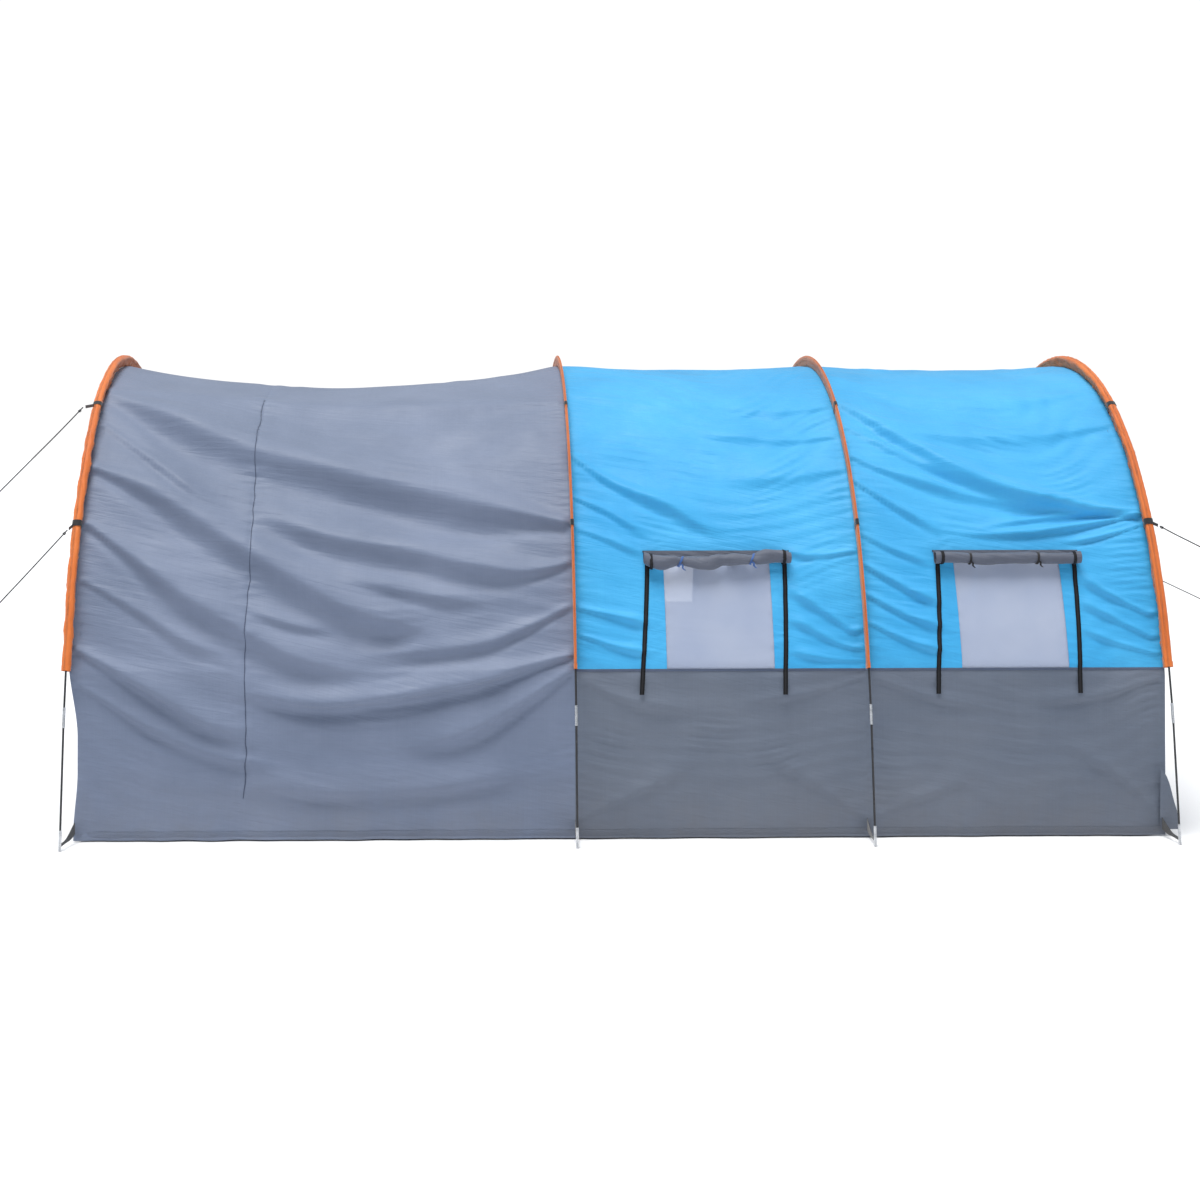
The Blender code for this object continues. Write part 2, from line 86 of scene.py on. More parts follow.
ARCH_X = {name: middle(f"rod_{name}", 0) for name in "abcd"}
ROD_RADIUS = span("rod_a", 0) / 2
RIDGE = float(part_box("rod_a")[1][2]) - ROD_RADIUS
WIDTH = 3.10
SLEEVE_DEPTH = 0.016
SLEEVE_END = float(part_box("sleeve_a")[0][2])
CLOTH_DEPTH = 0.0465
SEAM_HEIGHT = 0.735
HEM_HEIGHT = 0.03
HEM_ACROSS = WIDTH / 2 - 0.16
TURNED_UNDER = 0.025
BAYS = {"porch": ("a", "b"), "middle": ("b", "c"), "rear": ("c", "d")}
ROOMS = ("middle", "rear")
SIDES = {"near": -1, "far": 1}
WINDOW_TOP = 1.195
PORCH_SEAM = 0.76
PORCH_SEAM_TOP = 1.985
PORCH_SEAM_FOOT = 0.185

# ---- The bent rod -----------------------------------------------------------------------------


def lean_at(foot_lean, t):
    """How level the rod runs, from 1 at the ridge, where t is 0, to foot_lean at the foot, where t is 1."""
    up = 1 - t * t
    return foot_lean + (1 - foot_lean) * up * up


def spread_rate(foot_lean, t):
    """How fast the rod moves away from the middle as t grows, for a ridge 1 high."""
    lean = lean_at(foot_lean, t)
    return 2 * t * lean / np.sqrt(1 - lean * lean)


def mid_steps(steps):
    """The middles of even steps from 0 to 1."""
    return (np.arange(steps) + 0.5) / steps


def half_span(foot_lean, steps=600):
    return float(spread_rate(foot_lean, mid_steps(steps)).sum() * RIDGE / steps)


def solve_foot_lean(halvings=50):
    """The lean at the foot that makes the arch as wide as it has to be."""
    low, high = -0.95, 0.95
    for _ in range(halvings):
        guess = (low + high) / 2
        if half_span(guess) < WIDTH / 2:
            low = guess
        else:
            high = guess
    return (low + high) / 2


FOOT_LEAN = solve_foot_lean()
ROD_STEPS = 1200
ROD_T = np.linspace(0, 1, ROD_STEPS + 1)
ROD_SPREAD = np.cumsum(spread_rate(FOOT_LEAN, mid_steps(ROD_STEPS)))
ROD_ACROSS = np.concatenate([[0], ROD_SPREAD]) * RIDGE / ROD_STEPS


def arch_point(t, depth):
    """Across and up of points that lie depth inside the rod, and the outward direction there."""
    t = np.asarray(t, float)
    lean = lean_at(FOOT_LEAN, t)
    upright = np.sqrt(np.maximum(0, 1 - lean * lean))
    across = np.interp(t, ROD_T, ROD_ACROSS) - depth * upright
    return across, RIDGE * (1 - t * t) - depth * lean, upright, lean


def distance_run(across, up):
    """The distance along a flat line, at each of its points."""
    return np.concatenate([[0], np.cumsum(np.hypot(np.diff(across), np.diff(up)))])


def t_at(height, depth):
    """Where on the arch a height lies."""
    t = np.linspace(0, 1, 2001)
    up = arch_point(t, depth)[1]
    return float(np.interp(-height, -up, t))


def spaced_t(low, depth, step):
    """Values of t from the ridge down to a height, evenly spaced along the arch."""
    t = np.linspace(0, t_at(low, depth), 800)
    across, up, _, _ = arch_point(t, depth)
    run = distance_run(across, up)
    return np.interp(np.linspace(0, run[-1], int(round(run[-1] / step)) + 1), run, t)


# the cloth's section from the ridge to the seam, and its distance down from the ridge
CLOTH_T = np.linspace(0, t_at(SEAM_HEIGHT, CLOTH_DEPTH), 900)
CLOTH_ACROSS, CLOTH_UP, _, _ = arch_point(CLOTH_T, CLOTH_DEPTH)
CLOTH_RUN = distance_run(CLOTH_ACROSS, CLOTH_UP)
V_SEAM = float(CLOTH_RUN[-1])
V_HEM = V_SEAM + math.hypot(CLOTH_ACROSS[-1] - HEM_ACROSS, SEAM_HEIGHT - HEM_HEIGHT)
V_FLOOR = V_HEM + TURNED_UNDER


def v_at(height):
    """How far down from the ridge, along the cloth, a height lies."""
    height = np.asarray(height, float)
    wall = V_SEAM + (SEAM_HEIGHT - height) / (SEAM_HEIGHT - HEM_HEIGHT) * (V_HEM - V_SEAM)
    return np.where(height < SEAM_HEIGHT, wall, np.interp(-height, -CLOTH_UP, CLOTH_RUN))


def bay_ends(bay):
    """Where a bay starts and ends along the tunnel."""
    first, last = BAYS[bay]
    return ARCH_X[first], ARCH_X[last]


def smooth(value, low=0.0, high=1.0):
    """From 0 at low to 1 at high, with no kink at either."""
    share = np.clip((np.asarray(value, float) - low) / (high - low), 0, 1)
    return share * share * (3 - 2 * share)


def bump(value, centre, width):
    """1 at the centre, and nothing much beyond twice the width."""
    return np.exp(-(((value - centre) / width) ** 2))


def ripples(x, y, seed, waves, longest, shortest, stretch=1.0):
    """Smooth random relief of about unit height. Its waves are stretched along x."""
    rng = np.random.RandomState(seed)
    total = 0.0
    for _ in range(waves):
        length = longest * (shortest / longest) ** rng.rand()
        turn = rng.uniform(0, math.pi)
        phase = rng.uniform(0, 2 * math.pi)
        along = math.cos(turn) / stretch
        total = total + np.sin(2 * math.pi / length * (x * along + y * math.sin(turn)) + phase)
    return total / math.sqrt(waves / 2)


# ---- Folds of the cloth -----------------------------------------------------------------------
# Each fold is a crest: (its points as (along, height) in metres, half width, height proud).
# Along is measured on the tunnel's axis.

PORCH_FOLDS = [
    ([(-2.38, 1.94), (-2.0, 1.8), (-1.65, 1.67), (-1.20, 1.56), (-0.75, 1.46), (-0.22, 1.36)], 0.085, 0.026),
    ([(-2.36, 1.60), (-2.05, 1.47), (-1.65, 1.24), (-1.4, 1.1), (-1.15, 0.98), (-0.8, 0.9)], 0.070, 0.021),
    ([(-2.36, 1.36), (-2.10, 1.18), (-1.88, 1.03), (-1.64, 0.9), (-1.42, 0.79), (-1.20, 0.74)], 0.060, 0.018),
    ([(-2.37, 0.83), (-2.05, 0.66), (-1.83, 0.53), (-1.62, 0.44)], 0.055, 0.016),
    ([(-2.37, 0.68), (-2.05, 0.49), (-1.77, 0.38), (-1.50, 0.33)], 0.040, 0.009),
    ([(-1.64, 0.65), (-1.35, 0.60), (-1.05, 0.62), (-0.70, 0.68), (-0.21, 0.80)], 0.045, 0.018),
    ([(-0.95, 0.40), (-0.70, 0.47), (-0.50, 0.56), (-0.21, 0.74)], 0.060, 0.015),
    ([(-1.6, 1.4), (-1.3, 1.3), (-0.95, 1.24), (-0.60, 1.17), (-0.40, 1.15), (-0.21, 1.19)], 0.060, 0.017),
    ([(-1.20, 1.12), (-0.90, 1.06), (-0.60, 1.02)], 0.035, 0.009),
    ([(-1.10, 0.80), (-0.65, 0.84), (-0.42, 0.91), (-0.21, 1.01)], 0.040, 0.011),
    ([(-1.64, 0.99), (-1.45, 0.93), (-1.25, 0.90)], 0.030, 0.008),
    ([(-2.38, 1.96), (-1.70, 1.91), (-1.10, 1.88), (-0.21, 1.90)], 0.050, 0.008),
    ([(-2.36, 1.80), (-2.15, 1.66), (-1.95, 1.52), (-1.80, 1.44)], 0.030, 0.008),
    ([(-2.36, 1.12), (-2.10, 0.98), (-1.90, 0.86), (-1.70, 0.79)], 0.035, 0.008),
    ([(-1.66, 0.26), (-1.30, 0.22), (-0.90, 0.23), (-0.40, 0.30)], 0.060, 0.010),
]
MIDDLE_FOLDS = [
    ([(-0.19, 1.66), (0.00, 1.53), (0.22, 1.44), (0.45, 1.32)], 0.035, 0.012),
    ([(-0.19, 1.48), (-0.04, 1.41), (0.12, 1.32)], 0.030, 0.010),
    ([(-0.19, 1.34), (-0.02, 1.28), (0.12, 1.22)], 0.026, 0.007),
    ([(-0.19, 1.00), (0.00, 0.96), (0.20, 0.92)], 0.035, 0.010),
    ([(-0.19, 0.89), (0.00, 0.83), (0.20, 0.80)], 0.030, 0.009),
    ([(0.66, 1.10), (0.78, 1.06), (0.92, 0.97), (1.02, 0.90)], 0.040, 0.012),
    ([(0.66, 0.98), (0.80, 0.93), (0.95, 0.85), (1.06, 0.82)], 0.032, 0.009),
    ([(0.70, 1.26), (0.85, 1.22), (1.06, 1.24)], 0.030, 0.008),
    ([(0.50, 1.90), (0.80, 1.86), (1.07, 1.88)], 0.035, 0.006),
    ([(0.40, 1.76), (0.80, 1.73), (1.07, 1.75)], 0.035, 0.006),
    ([(-0.19, 1.95), (0.30, 1.89), (0.80, 1.93)], 0.050, 0.007),
    ([(0.50, 1.55), (0.80, 1.56), (1.06, 1.60)], 0.060, 0.006),
    ([(0.62, 0.86), (0.85, 0.79), (1.06, 0.77)], 0.030, 0.007),
    ([(-0.19, 0.08), (0.05, 0.20), (0.32, 0.33)], 0.045, 0.005),
    ([(1.07, 0.08), (0.85, 0.24), (0.60, 0.40)], 0.045, 0.005),
    ([(-0.19, 0.70), (0.05, 0.60), (0.35, 0.56)], 0.040, 0.005),
    ([(1.07, 0.70), (0.85, 0.64), (0.55, 0.60)], 0.030, 0.004),
]
REAR_FOLDS = [
    ([(1.09, 1.92), (1.33, 1.75), (1.66, 1.56), (1.95, 1.46), (2.37, 1.40)], 0.050, 0.017),
    ([(1.09, 1.80), (1.35, 1.66), (1.70, 1.52), (2.00, 1.44), (2.37, 1.385)], 0.030, 0.008),
    ([(1.09, 1.66), (1.30, 1.57), (1.70, 1.47), (2.00, 1.42)], 0.035, 0.011),
    ([(1.09, 1.55), (1.26, 1.44), (1.45, 1.33)], 0.030, 0.012),
    ([(2.375, 1.395), (2.10, 1.345), (1.84, 1.31), (1.60, 1.31)], 0.020, 0.012),
    ([(2.375, 1.350), (2.15, 1.290), (1.95, 1.265)], 0.016, 0.009),
    ([(2.375, 1.415), (2.15, 1.405), (1.85, 1.37), (1.65, 1.34)], 0.018, 0.007),
    ([(1.98, 1.20), (2.15, 1.07), (2.35, 0.97)], 0.032, 0.012),
    ([(1.98, 1.06), (2.15, 0.97), (2.35, 0.87)], 0.030, 0.010),
    ([(1.98, 0.94), (2.15, 0.86), (2.35, 0.80)], 0.026, 0.008),
    ([(1.09, 1.19), (1.30, 1.07), (1.48, 1.00)], 0.032, 0.012),
    ([(1.09, 1.06), (1.28, 0.96), (1.48, 0.90)], 0.030, 0.011),
    ([(1.09, 0.94), (1.28, 0.85), (1.48, 0.80)], 0.026, 0.009),
    ([(1.09, 1.32), (1.25, 1.24), (1.42, 1.18)], 0.026, 0.008),
    ([(1.09, 2.04), (1.45, 1.94), (1.90, 1.90), (2.37, 1.96)], 0.050, 0.010),
    ([(1.20, 1.84), (1.55, 1.75), (1.95, 1.74), (2.37, 1.80)], 0.045, 0.007),
    ([(1.10, 0.08), (1.32, 0.18), (1.55, 0.26)], 0.045, 0.005),
    ([(2.38, 0.08), (2.20, 0.26), (1.95, 0.42)], 0.045, 0.006),
    ([(1.10, 0.70), (1.35, 0.62), (1.60, 0.58)], 0.035, 0.005),
    ([(2.38, 0.69), (2.10, 0.62), (1.80, 0.59)], 0.035, 0.005),
]
FOLDS = {"porch": PORCH_FOLDS, "middle": MIDDLE_FOLDS, "rear": REAR_FOLDS}
WINDOWS = {
    bay: (float(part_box(f"{bay}_window_near")[0][0]), float(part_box(f"{bay}_window_near")[1][0]))
    for bay in ROOMS
}


def curve_through(points, steps=24):
    """A smooth line through points."""
    p = np.array([points[0]] + list(points) + [points[-1]], float)
    line = []
    for i in range(1, len(p) - 2):
        slope = p[i + 1] - p[i - 1]
        square = 2 * p[i - 1] - 5 * p[i] + 4 * p[i + 1] - p[i + 2]
        cube = 3 * p[i] - p[i - 1] - 3 * p[i + 1] + p[i + 2]
        for s in np.arange(steps) / steps:
            line.append(0.5 * (2 * p[i] + slope * s + square * s * s + cube * s**3))
    line.append(p[-2])
    return np.array(line)


def fold_height(x, z, points, half_width, proud, ends_at):
    """A crest with a long upper slope, a short underside and a shallow trough below it.
    Where it starts at one of ends_at, the arches, it starts as a narrow crease."""
    line = curve_through(sorted(points))
    crest = np.interp(x, line[:, 0], line[:, 1])
    slope = np.interp(x, line[:, 0], np.gradient(line[:, 1], line[:, 0]))
    low, high = line[0, 0], line[-1, 0]
    reach = min(0.25, 0.35 * (high - low))
    strength = 1.0
    width = half_width
    for end, inward in ((low, 1), (high, -1)):
        run = (x - end) * inward
        if min(abs(end - arch) for arch in ends_at) < 0.08:
            width = width * (0.30 + 0.70 * smooth(run, 0.0, 0.50))
            strength = strength * (0.42 + 0.58 * smooth(run, 0.0, 0.40))
        else:
            strength = strength * smooth(run, -0.35 * reach, reach)
    off = (z - crest) / np.sqrt(1 + slope * slope)
    upper = np.exp(-((off / (1.30 * width)) ** 2))
    lower = np.exp(-((off / (0.58 * width)) ** 2))
    trough = 0.35 * np.exp(-(((off + 1.3 * width) / (0.75 * width)) ** 2))
    return proud * strength * (np.where(off > 0, upper, lower) - trough)


FOLD_STRENGTH = {"porch": 2.4, "middle": 2.4, "rear": 2.3}
FAR_SHARE = 0.85
BAY_SEED = {"porch": 3, "middle": 5, "rear": 8}


def crests(along, spacing, wander):
    """A row of ripples, one each spacing, that wanders off its line."""
    return np.sin(2 * math.pi * along / spacing + wander)


def loose_cloth(bay, x, z, signed, shifted, roof):
    """The small ripples between the folds. They flow down from the arches, as the folds do."""
    low, high = bay_ends(bay)
    seed = BAY_SEED[bay]
    total = 0.0
    if bay == "porch":
        drop = 0.50 * (1 - np.exp(-(shifted + 2.4) / 0.9))
        rise = 0.26 * np.maximum(0, shifted + 1.1) ** 2 * (1 - smooth(z, 0.9, 1.4))
        flow = z + drop - rise
        slow = ripples(x, signed, seed, 9, 1.6, 0.7)
        fine = np.clip(ripples(x, signed, seed + 1, 8, 0.9, 0.35), 0, 2)
        total += 0.0018 * crests(flow, 0.145, 2.2 * slow) * (1 - 0.5 * roof)
        total += 0.0008 * fine * crests(flow, 0.040, 3.0 * slow)
        total += 0.0050 * ripples(x, signed, seed + 2, 10, 1.1, 0.45, stretch=1.8)
    else:
        flow = z + 0.22 * (shifted - low) * (1 - smooth(shifted, low + 0.6, high))
        slow = ripples(x, signed, seed, 9, 1.1, 0.5)
        fine = np.clip(ripples(x, signed, seed + 1, 8, 0.7, 0.3), 0, 2)
        total += 0.0014 * crests(flow, 0.085, 2.6 * slow)
        total += 0.0011 * fine * crests(flow, 0.034, 3.2 * slow)
        total += 0.0030 * ripples(x, signed, seed + 2, 10, 0.8, 0.3, stretch=1.8)
    return total


def calm_window(bay, x, z, signed, total):
    """The cloth is flatter round a window, with puckers along its sewn edges."""
    left, right = WINDOWS[bay]
    beside = smooth(x, left - 0.16, left - 0.05) * (1 - smooth(x, right + 0.05, right + 0.16))
    level = smooth(z, 0.62, 0.72) * (1 - smooth(z, 1.26, 1.34))
    puckers = crests(z, 0.052, 3.0 * ripples(x, signed, BAY_SEED[bay] + 6, 6, 0.4, 0.15))
    band = bump(x, left - 0.02, 0.035) + bump(x, right + 0.02, 0.035)
    return total * (1 - 0.85 * beside * level) + 0.0012 * puckers * band * level


def pucker_porch_seam(x, v, z, signed):
    """The seam down each side of the porch draws the cloth in."""
    seam = bay_ends("porch")[0] + PORCH_SEAM
    sewn = smooth(z, PORCH_SEAM_TOP + 0.035, PORCH_SEAM_TOP - 0.025)
    sewn = sewn * smooth(z, PORCH_SEAM_FOOT - 0.045, PORCH_SEAM_FOOT + 0.035)
    pull = crests(v, 0.058, 2.5 * ripples(x * 0, signed, 41, 7, 0.6, 0.2))
    return (0.0018 * pull * bump(x, seam, 0.045) - 0.0028 * bump(x, seam, 0.010)) * sewn


def slack_wall(bay, x, z, edge):
    """The lower wall hangs loosely between the seam and the hem, and the seam draws it in."""
    share = smooth(z, SEAM_HEIGHT + 0.01, SEAM_HEIGHT - 0.06)
    slack = ripples(x, z * 0.6, BAY_SEED[bay] + 12 + int(10 * bay_ends(bay)[0]), 9, 0.7, 0.22)
    return 0.0034 * slack * share * smooth(edge, 0.0, 0.15) - 0.0040 * bump(z, SEAM_HEIGHT, 0.020)


def relief(bay, x, v, z, side):
    """How far the cloth stands out of its smooth shape."""
    low, high = bay_ends(bay)
    x, v, z, side = np.broadcast_arrays(x, v, z, side)
    signed = v * side
    # the far side's folds are the same cloth's, a little further along and softer
    near = side < 0
    shifted = np.where(near, x, low + high - x + 0.04)
    raised = np.where(near, z, z + 0.03)
    strength = np.where(near, 1.0, FAR_SHARE) * FOLD_STRENGTH[bay]
    total = sum(strength * fold_height(shifted, raised, *fold, (low, high)) for fold in FOLDS[bay])
    roof = smooth(z, 1.80, 2.02)
    total = total * (1 - 0.65 * roof) + loose_cloth(bay, x, z, signed, shifted, roof)
    # small gathers where the cloth is sewn to the sleeves
    edge = np.minimum(x - low, high - x)
    gathers = crests(v, 0.041, 2.0 * ripples(x * 0, signed, BAY_SEED[bay] + 4, 7, 0.5, 0.15))
    total = total * smooth(edge, 0.0, 0.030)
    total += 0.0016 * gathers * np.exp(-edge / 0.060) * smooth(edge, 0.0, 0.018)
    if bay == "porch":
        total += pucker_porch_seam(x, v, z, signed)
    else:
        total = calm_window(bay, x, z, signed, total) + slack_wall(bay, x, z, edge)
    # the hem is held by the ground, and waves a little along it
    total *= smooth(z, HEM_HEIGHT - 0.02, HEM_HEIGHT + 0.22) * 0.9 + 0.1
    hem = ripples(x, signed * 0, BAY_SEED[bay] + 9, 8, 0.6, 0.18)
    return total + 0.0035 * hem * (1 - smooth(z, HEM_HEIGHT, 0.20)) * smooth(edge, 0, 0.08)


def sag_depth(bay, share, up):
    """How far the cloth hangs inside its arches, at a share of the way between them."""
    bow = 4 * share * (1 - share)
    if bay == "porch":
        rise = np.maximum(0, up / RIDGE)
        return 0.115 * bow * (0.35 * np.sin(math.pi * rise) + rise**4)
    return 0.02 * bow * np.maximum(0, (up - 1.30) / (RIDGE - 1.30))


def cloth_at(bay, x, v, side, lift=0.0, folds=True):
    """Points on the cloth, and its outward direction, at x along the tunnel and v down from the ridge."""
    low, high = bay_ends(bay)
    x, v, side = np.broadcast_arrays(np.asarray(x, float), np.asarray(v, float), np.asarray(side, float))
    share = (x - low) / (high - low)
    t = np.interp(v, CLOTH_RUN, CLOTH_T)
    _, up, _, _ = arch_point(t, CLOTH_DEPTH)
    across, up, upright, lean = arch_point(t, CLOTH_DEPTH + sag_depth(bay, share, up))
    down = np.clip((v - V_SEAM) / (V_HEM - V_SEAM), 0, None)
    run = across - HEM_ACROSS
    fall = up - HEM_HEIGHT
    length = np.hypot(run, fall)
    on_wall = down > 0
    out = np.where(on_wall, fall / length, upright)
    top = np.where(on_wall, run / length, lean)
    across = across - run * down
    up = up - fall * down
    if folds:
        lift = lift + relief(bay, x, v, up, side)
    across = across + out * lift
    up = up + top * lift
    points = np.stack([x, side * across, up], -1)
    return points, np.stack([x * 0, side * out, top], -1)


# ---- Mesh helpers -----------------------------------------------------------------------------

SCENE = bpy.context.scene.collection


def mesh_object(name, points, faces, uv=None, material=None, sharp=None):
    """points and uv are arrays, faces are rows of corner numbers."""
    mesh = bpy.data.meshes.new(name)
    corners = np.asarray(points, float).reshape(-1, 3).tolist()
    mesh.from_pydata(corners, [], [list(map(int, face)) for face in faces])
    if uv is not None:
        layer = mesh.uv_layers.new(name="cloth")
        corner = np.zeros(len(mesh.loops), np.int32)
        mesh.loops.foreach_get("vertex_index", corner)
        layer.data.foreach_set("uv", np.asarray(uv, np.float32).reshape(-1, 2)[corner].ravel())
    mesh.shade_smooth()
    if sharp:
        mesh.set_sharp_from_angle(angle=math.radians(sharp))
    item = bpy.data.objects.new(name, mesh)
    SCENE.objects.link(item)
    if material:
        item.data.materials.append(material)
    return item


def grid_faces(rows, columns, keep=None, wrap=False, close=False):
    """Faces between rows of points. wrap joins the last column to the first, and close the last row."""
    index = np.arange(rows * columns).reshape(rows, columns)
    if wrap:
        index = np.concatenate([index, index[:, :1]], 1)
    if close:
        index = np.concatenate([index, index[:1]], 0)
    quads = np.stack([index[:-1, :-1], index[1:, :-1], index[1:, 1:], index[:-1, 1:]], -1).reshape(-1, 4)
    return quads if keep is None else quads[np.asarray(keep).reshape(-1)]


def without_loose(points, uv, faces):
    """The same mesh without the points that no face uses."""
    used = np.unique(faces)
    renumber = np.full(len(points), -1)
    renumber[used] = np.arange(len(used))
    return points[used], uv[used], renumber[faces]


def cloth_grid(name, bay, xs, vs, sides, material, keep=None, lift=0.0, folds=True):
    """One sheet of the tunnel. xs run along it, and vs with their sides run over it."""
    points, _ = cloth_at(bay, xs[:, None], vs[None, :], sides[None, :], lift=lift, folds=folds)
    uv = np.stack(np.broadcast_arrays(xs[:, None], (vs * sides)[None, :]), -1).reshape(-1, 2)
    faces = grid_faces(len(xs), len(vs), keep)
    flat, uv, faces = without_loose(points.reshape(-1, 3), uv, faces)
    return mesh_object(name, flat, faces, uv, material)


def ribbon(name, line, across, outward, width, thick, material, sharp=30):
    """A flat strap of a width and thickness along a line. across and outward are its directions."""
    line, across, outward = (np.asarray(a, float) for a in (line, across, outward))
    across = np.broadcast_to(across, line.shape)
    outward = np.broadcast_to(outward, line.shape)
    half = np.asarray(width, float) / 2
    half = np.broadcast_to(half, len(line))[:, None]
    edge = 0.82
    corners = [(-1, 0.0), (-1, 0.55), (-edge, 1.0), (edge, 1.0), (1, 0.55), (1, 0.0)]
    rows = np.stack([line + across * half * a + outward * thick * b for a, b in corners], 1)
    run = np.concatenate([[0], np.cumsum(np.linalg.norm(np.diff(line, axis=0), axis=1))])
    flat = np.array([0, 0.1, 0.2, 0.8, 0.9, 1.0])
    uv = np.stack(np.broadcast_arrays(run[:, None], flat[None, :]), -1)
    faces = grid_faces(len(line), 6, wrap=True).tolist()
    faces.append(list(range(5, -1, -1)))
    last = (len(line) - 1) * 6
    faces.append(list(range(last, last + 6)))
    return mesh_object(name, rows, faces, uv, material, sharp=sharp)


def tube(name, line, radius, material, sides=12):
    """A round tube along a line, with its ends closed."""
    line = np.asarray(line, float)
    along = np.gradient(line, axis=0)
    along /= np.linalg.norm(along, axis=1)[:, None]
    reference = np.array([0.0, 0.0, 1.0]) if abs(along[0, 2]) < 0.9 else np.array([1.0, 0.0, 0.0])
    first = np.cross(along, reference)
    first /= np.linalg.norm(first, axis=1)[:, None]
    second = np.cross(along, first)
    angle = 2 * math.pi * np.arange(sides) / sides
    radius = np.broadcast_to(np.asarray(radius, float), len(line))[:, None, None]
    rings = line[:, None] + radius * (
        first[:, None] * np.cos(angle)[None, :, None] + second[:, None] * np.sin(angle)[None, :, None]
    )
    run = np.concatenate([[0], np.cumsum(np.linalg.norm(np.diff(line, axis=0), axis=1))])
    uv = np.stack(np.broadcast_arrays(run[:, None], angle[None, :] * 0.01), -1)
    faces = grid_faces(len(line), sides, wrap=True).tolist()
    faces.append(list(range(sides - 1, -1, -1)))
    last = (len(line) - 1) * sides
    faces.append(list(range(last, last + sides)))
    return mesh_object(name, rings, faces, uv, material, sharp=50)


def on_cloth(bay, xs, heights, side, lift):
    """A line on the cloth at a height above the ground, with its outward direction."""
    return cloth_at(bay, xs, v_at(heights), side, lift=lift)


# ---- Materials --------------------------------------------------------------------------------


class Nodes:
    """Short names for making a material's nodes."""

    def __init__(self, name):
        self.material = bpy.data.materials.new(name)
        self.material.use_nodes = True
        self.tree = self.material.node_tree
        self.shader = self.tree.nodes["Principled BSDF"]

    def add(self, kind, **settings):
        node = self.tree.nodes.new(kind)
        for key, value in settings.items():
            setattr(node, key, value)
        return node

    def link(self, source, target):
        self.tree.links.new(source, target)

    def value(self, socket, number):
        self.shader.inputs[socket].default_value = number

    def coordinates(self, kind="UV", scale=(1, 1, 1), turn=0.0):
        source = self.add("ShaderNodeTexCoord")
        mapping = self.add("ShaderNodeMapping", vector_type="TEXTURE")
        mapping.inputs["Scale"].default_value = [1.0 / c for c in scale]
        mapping.inputs["Rotation"].default_value = (0, 0, turn)
        self.link(source.outputs[kind], mapping.inputs["Vector"])
        return mapping.outputs["Vector"]

    def noise(self, vector, scale, detail=3.0, rough=0.55, distortion=0.0):
        node = self.add("ShaderNodeTexNoise")
        node.inputs["Scale"].default_value = scale
        node.inputs["Detail"].default_value = detail
        node.inputs["Roughness"].default_value = rough
        node.inputs["Distortion"].default_value = distortion
        self.link(vector, node.inputs["Vector"])
        return node.outputs["Fac"]

    def wave(self, vector, scale, direction="X"):
        node = self.add("ShaderNodeTexWave", bands_direction=direction)
        node.inputs["Scale"].default_value = scale
        node.inputs["Distortion"].default_value = 0.6
        node.inputs["Detail"].default_value = 1.0
        self.link(vector, node.inputs["Vector"])
        return node.outputs["Fac"]

    def math(self, operation, first, second=0):
        node = self.add("ShaderNodeMath", operation=operation)
        for index, value in enumerate((first, second)):
            if isinstance(value, (int, float)):
                node.inputs[index].default_value = value
            else:
                self.link(value, node.inputs[index])
        return node.outputs[0]

    def between(self, value, low, high, from_low=0.0, from_high=1.0):
        node = self.add("ShaderNodeMapRange")
        node.inputs["From Min"].default_value = from_low
        node.inputs["From Max"].default_value = from_high
        node.inputs["To Min"].default_value = low
        node.inputs["To Max"].default_value = high
        self.link(value, node.inputs["Value"])
        return node.outputs["Result"]

    def ramp(self, value, stops):
        node = self.add("ShaderNodeValToRGB")
        while len(node.color_ramp.elements) < len(stops):
            node.color_ramp.elements.new(0.5)
        for element, (place, colour) in zip(node.color_ramp.elements, stops):
            element.position = place
            element.color = (*colour, 1)
        self.link(value, node.inputs["Fac"])
        return node.outputs["Color"]

    def mix(self, factor, first, second, blend="MIX"):
        node = self.add("ShaderNodeMix", data_type="RGBA", blend_type=blend)
        if isinstance(factor, (int, float)):
            node.inputs["Factor"].default_value = factor
        else:
            self.link(factor, node.inputs["Factor"])
        for socket, value in (("A", first), ("B", second)):
            target = next(s for s in node.inputs if s.name == socket and s.type == "RGBA")
            if isinstance(value, tuple):
                target.default_value = (*value, 1)
            else:
                self.link(value, target)
        return next(s for s in node.outputs if s.type == "RGBA")

    def bump(self, height, distance, strength=1.0, below=None):
        node = self.add("ShaderNodeBump")
        node.inputs["Distance"].default_value = distance
        node.inputs["Strength"].default_value = strength
        self.link(height, node.inputs["Height"])
        if below is not None:
            self.link(below, node.inputs["Normal"])
        return node.outputs["Normal"]


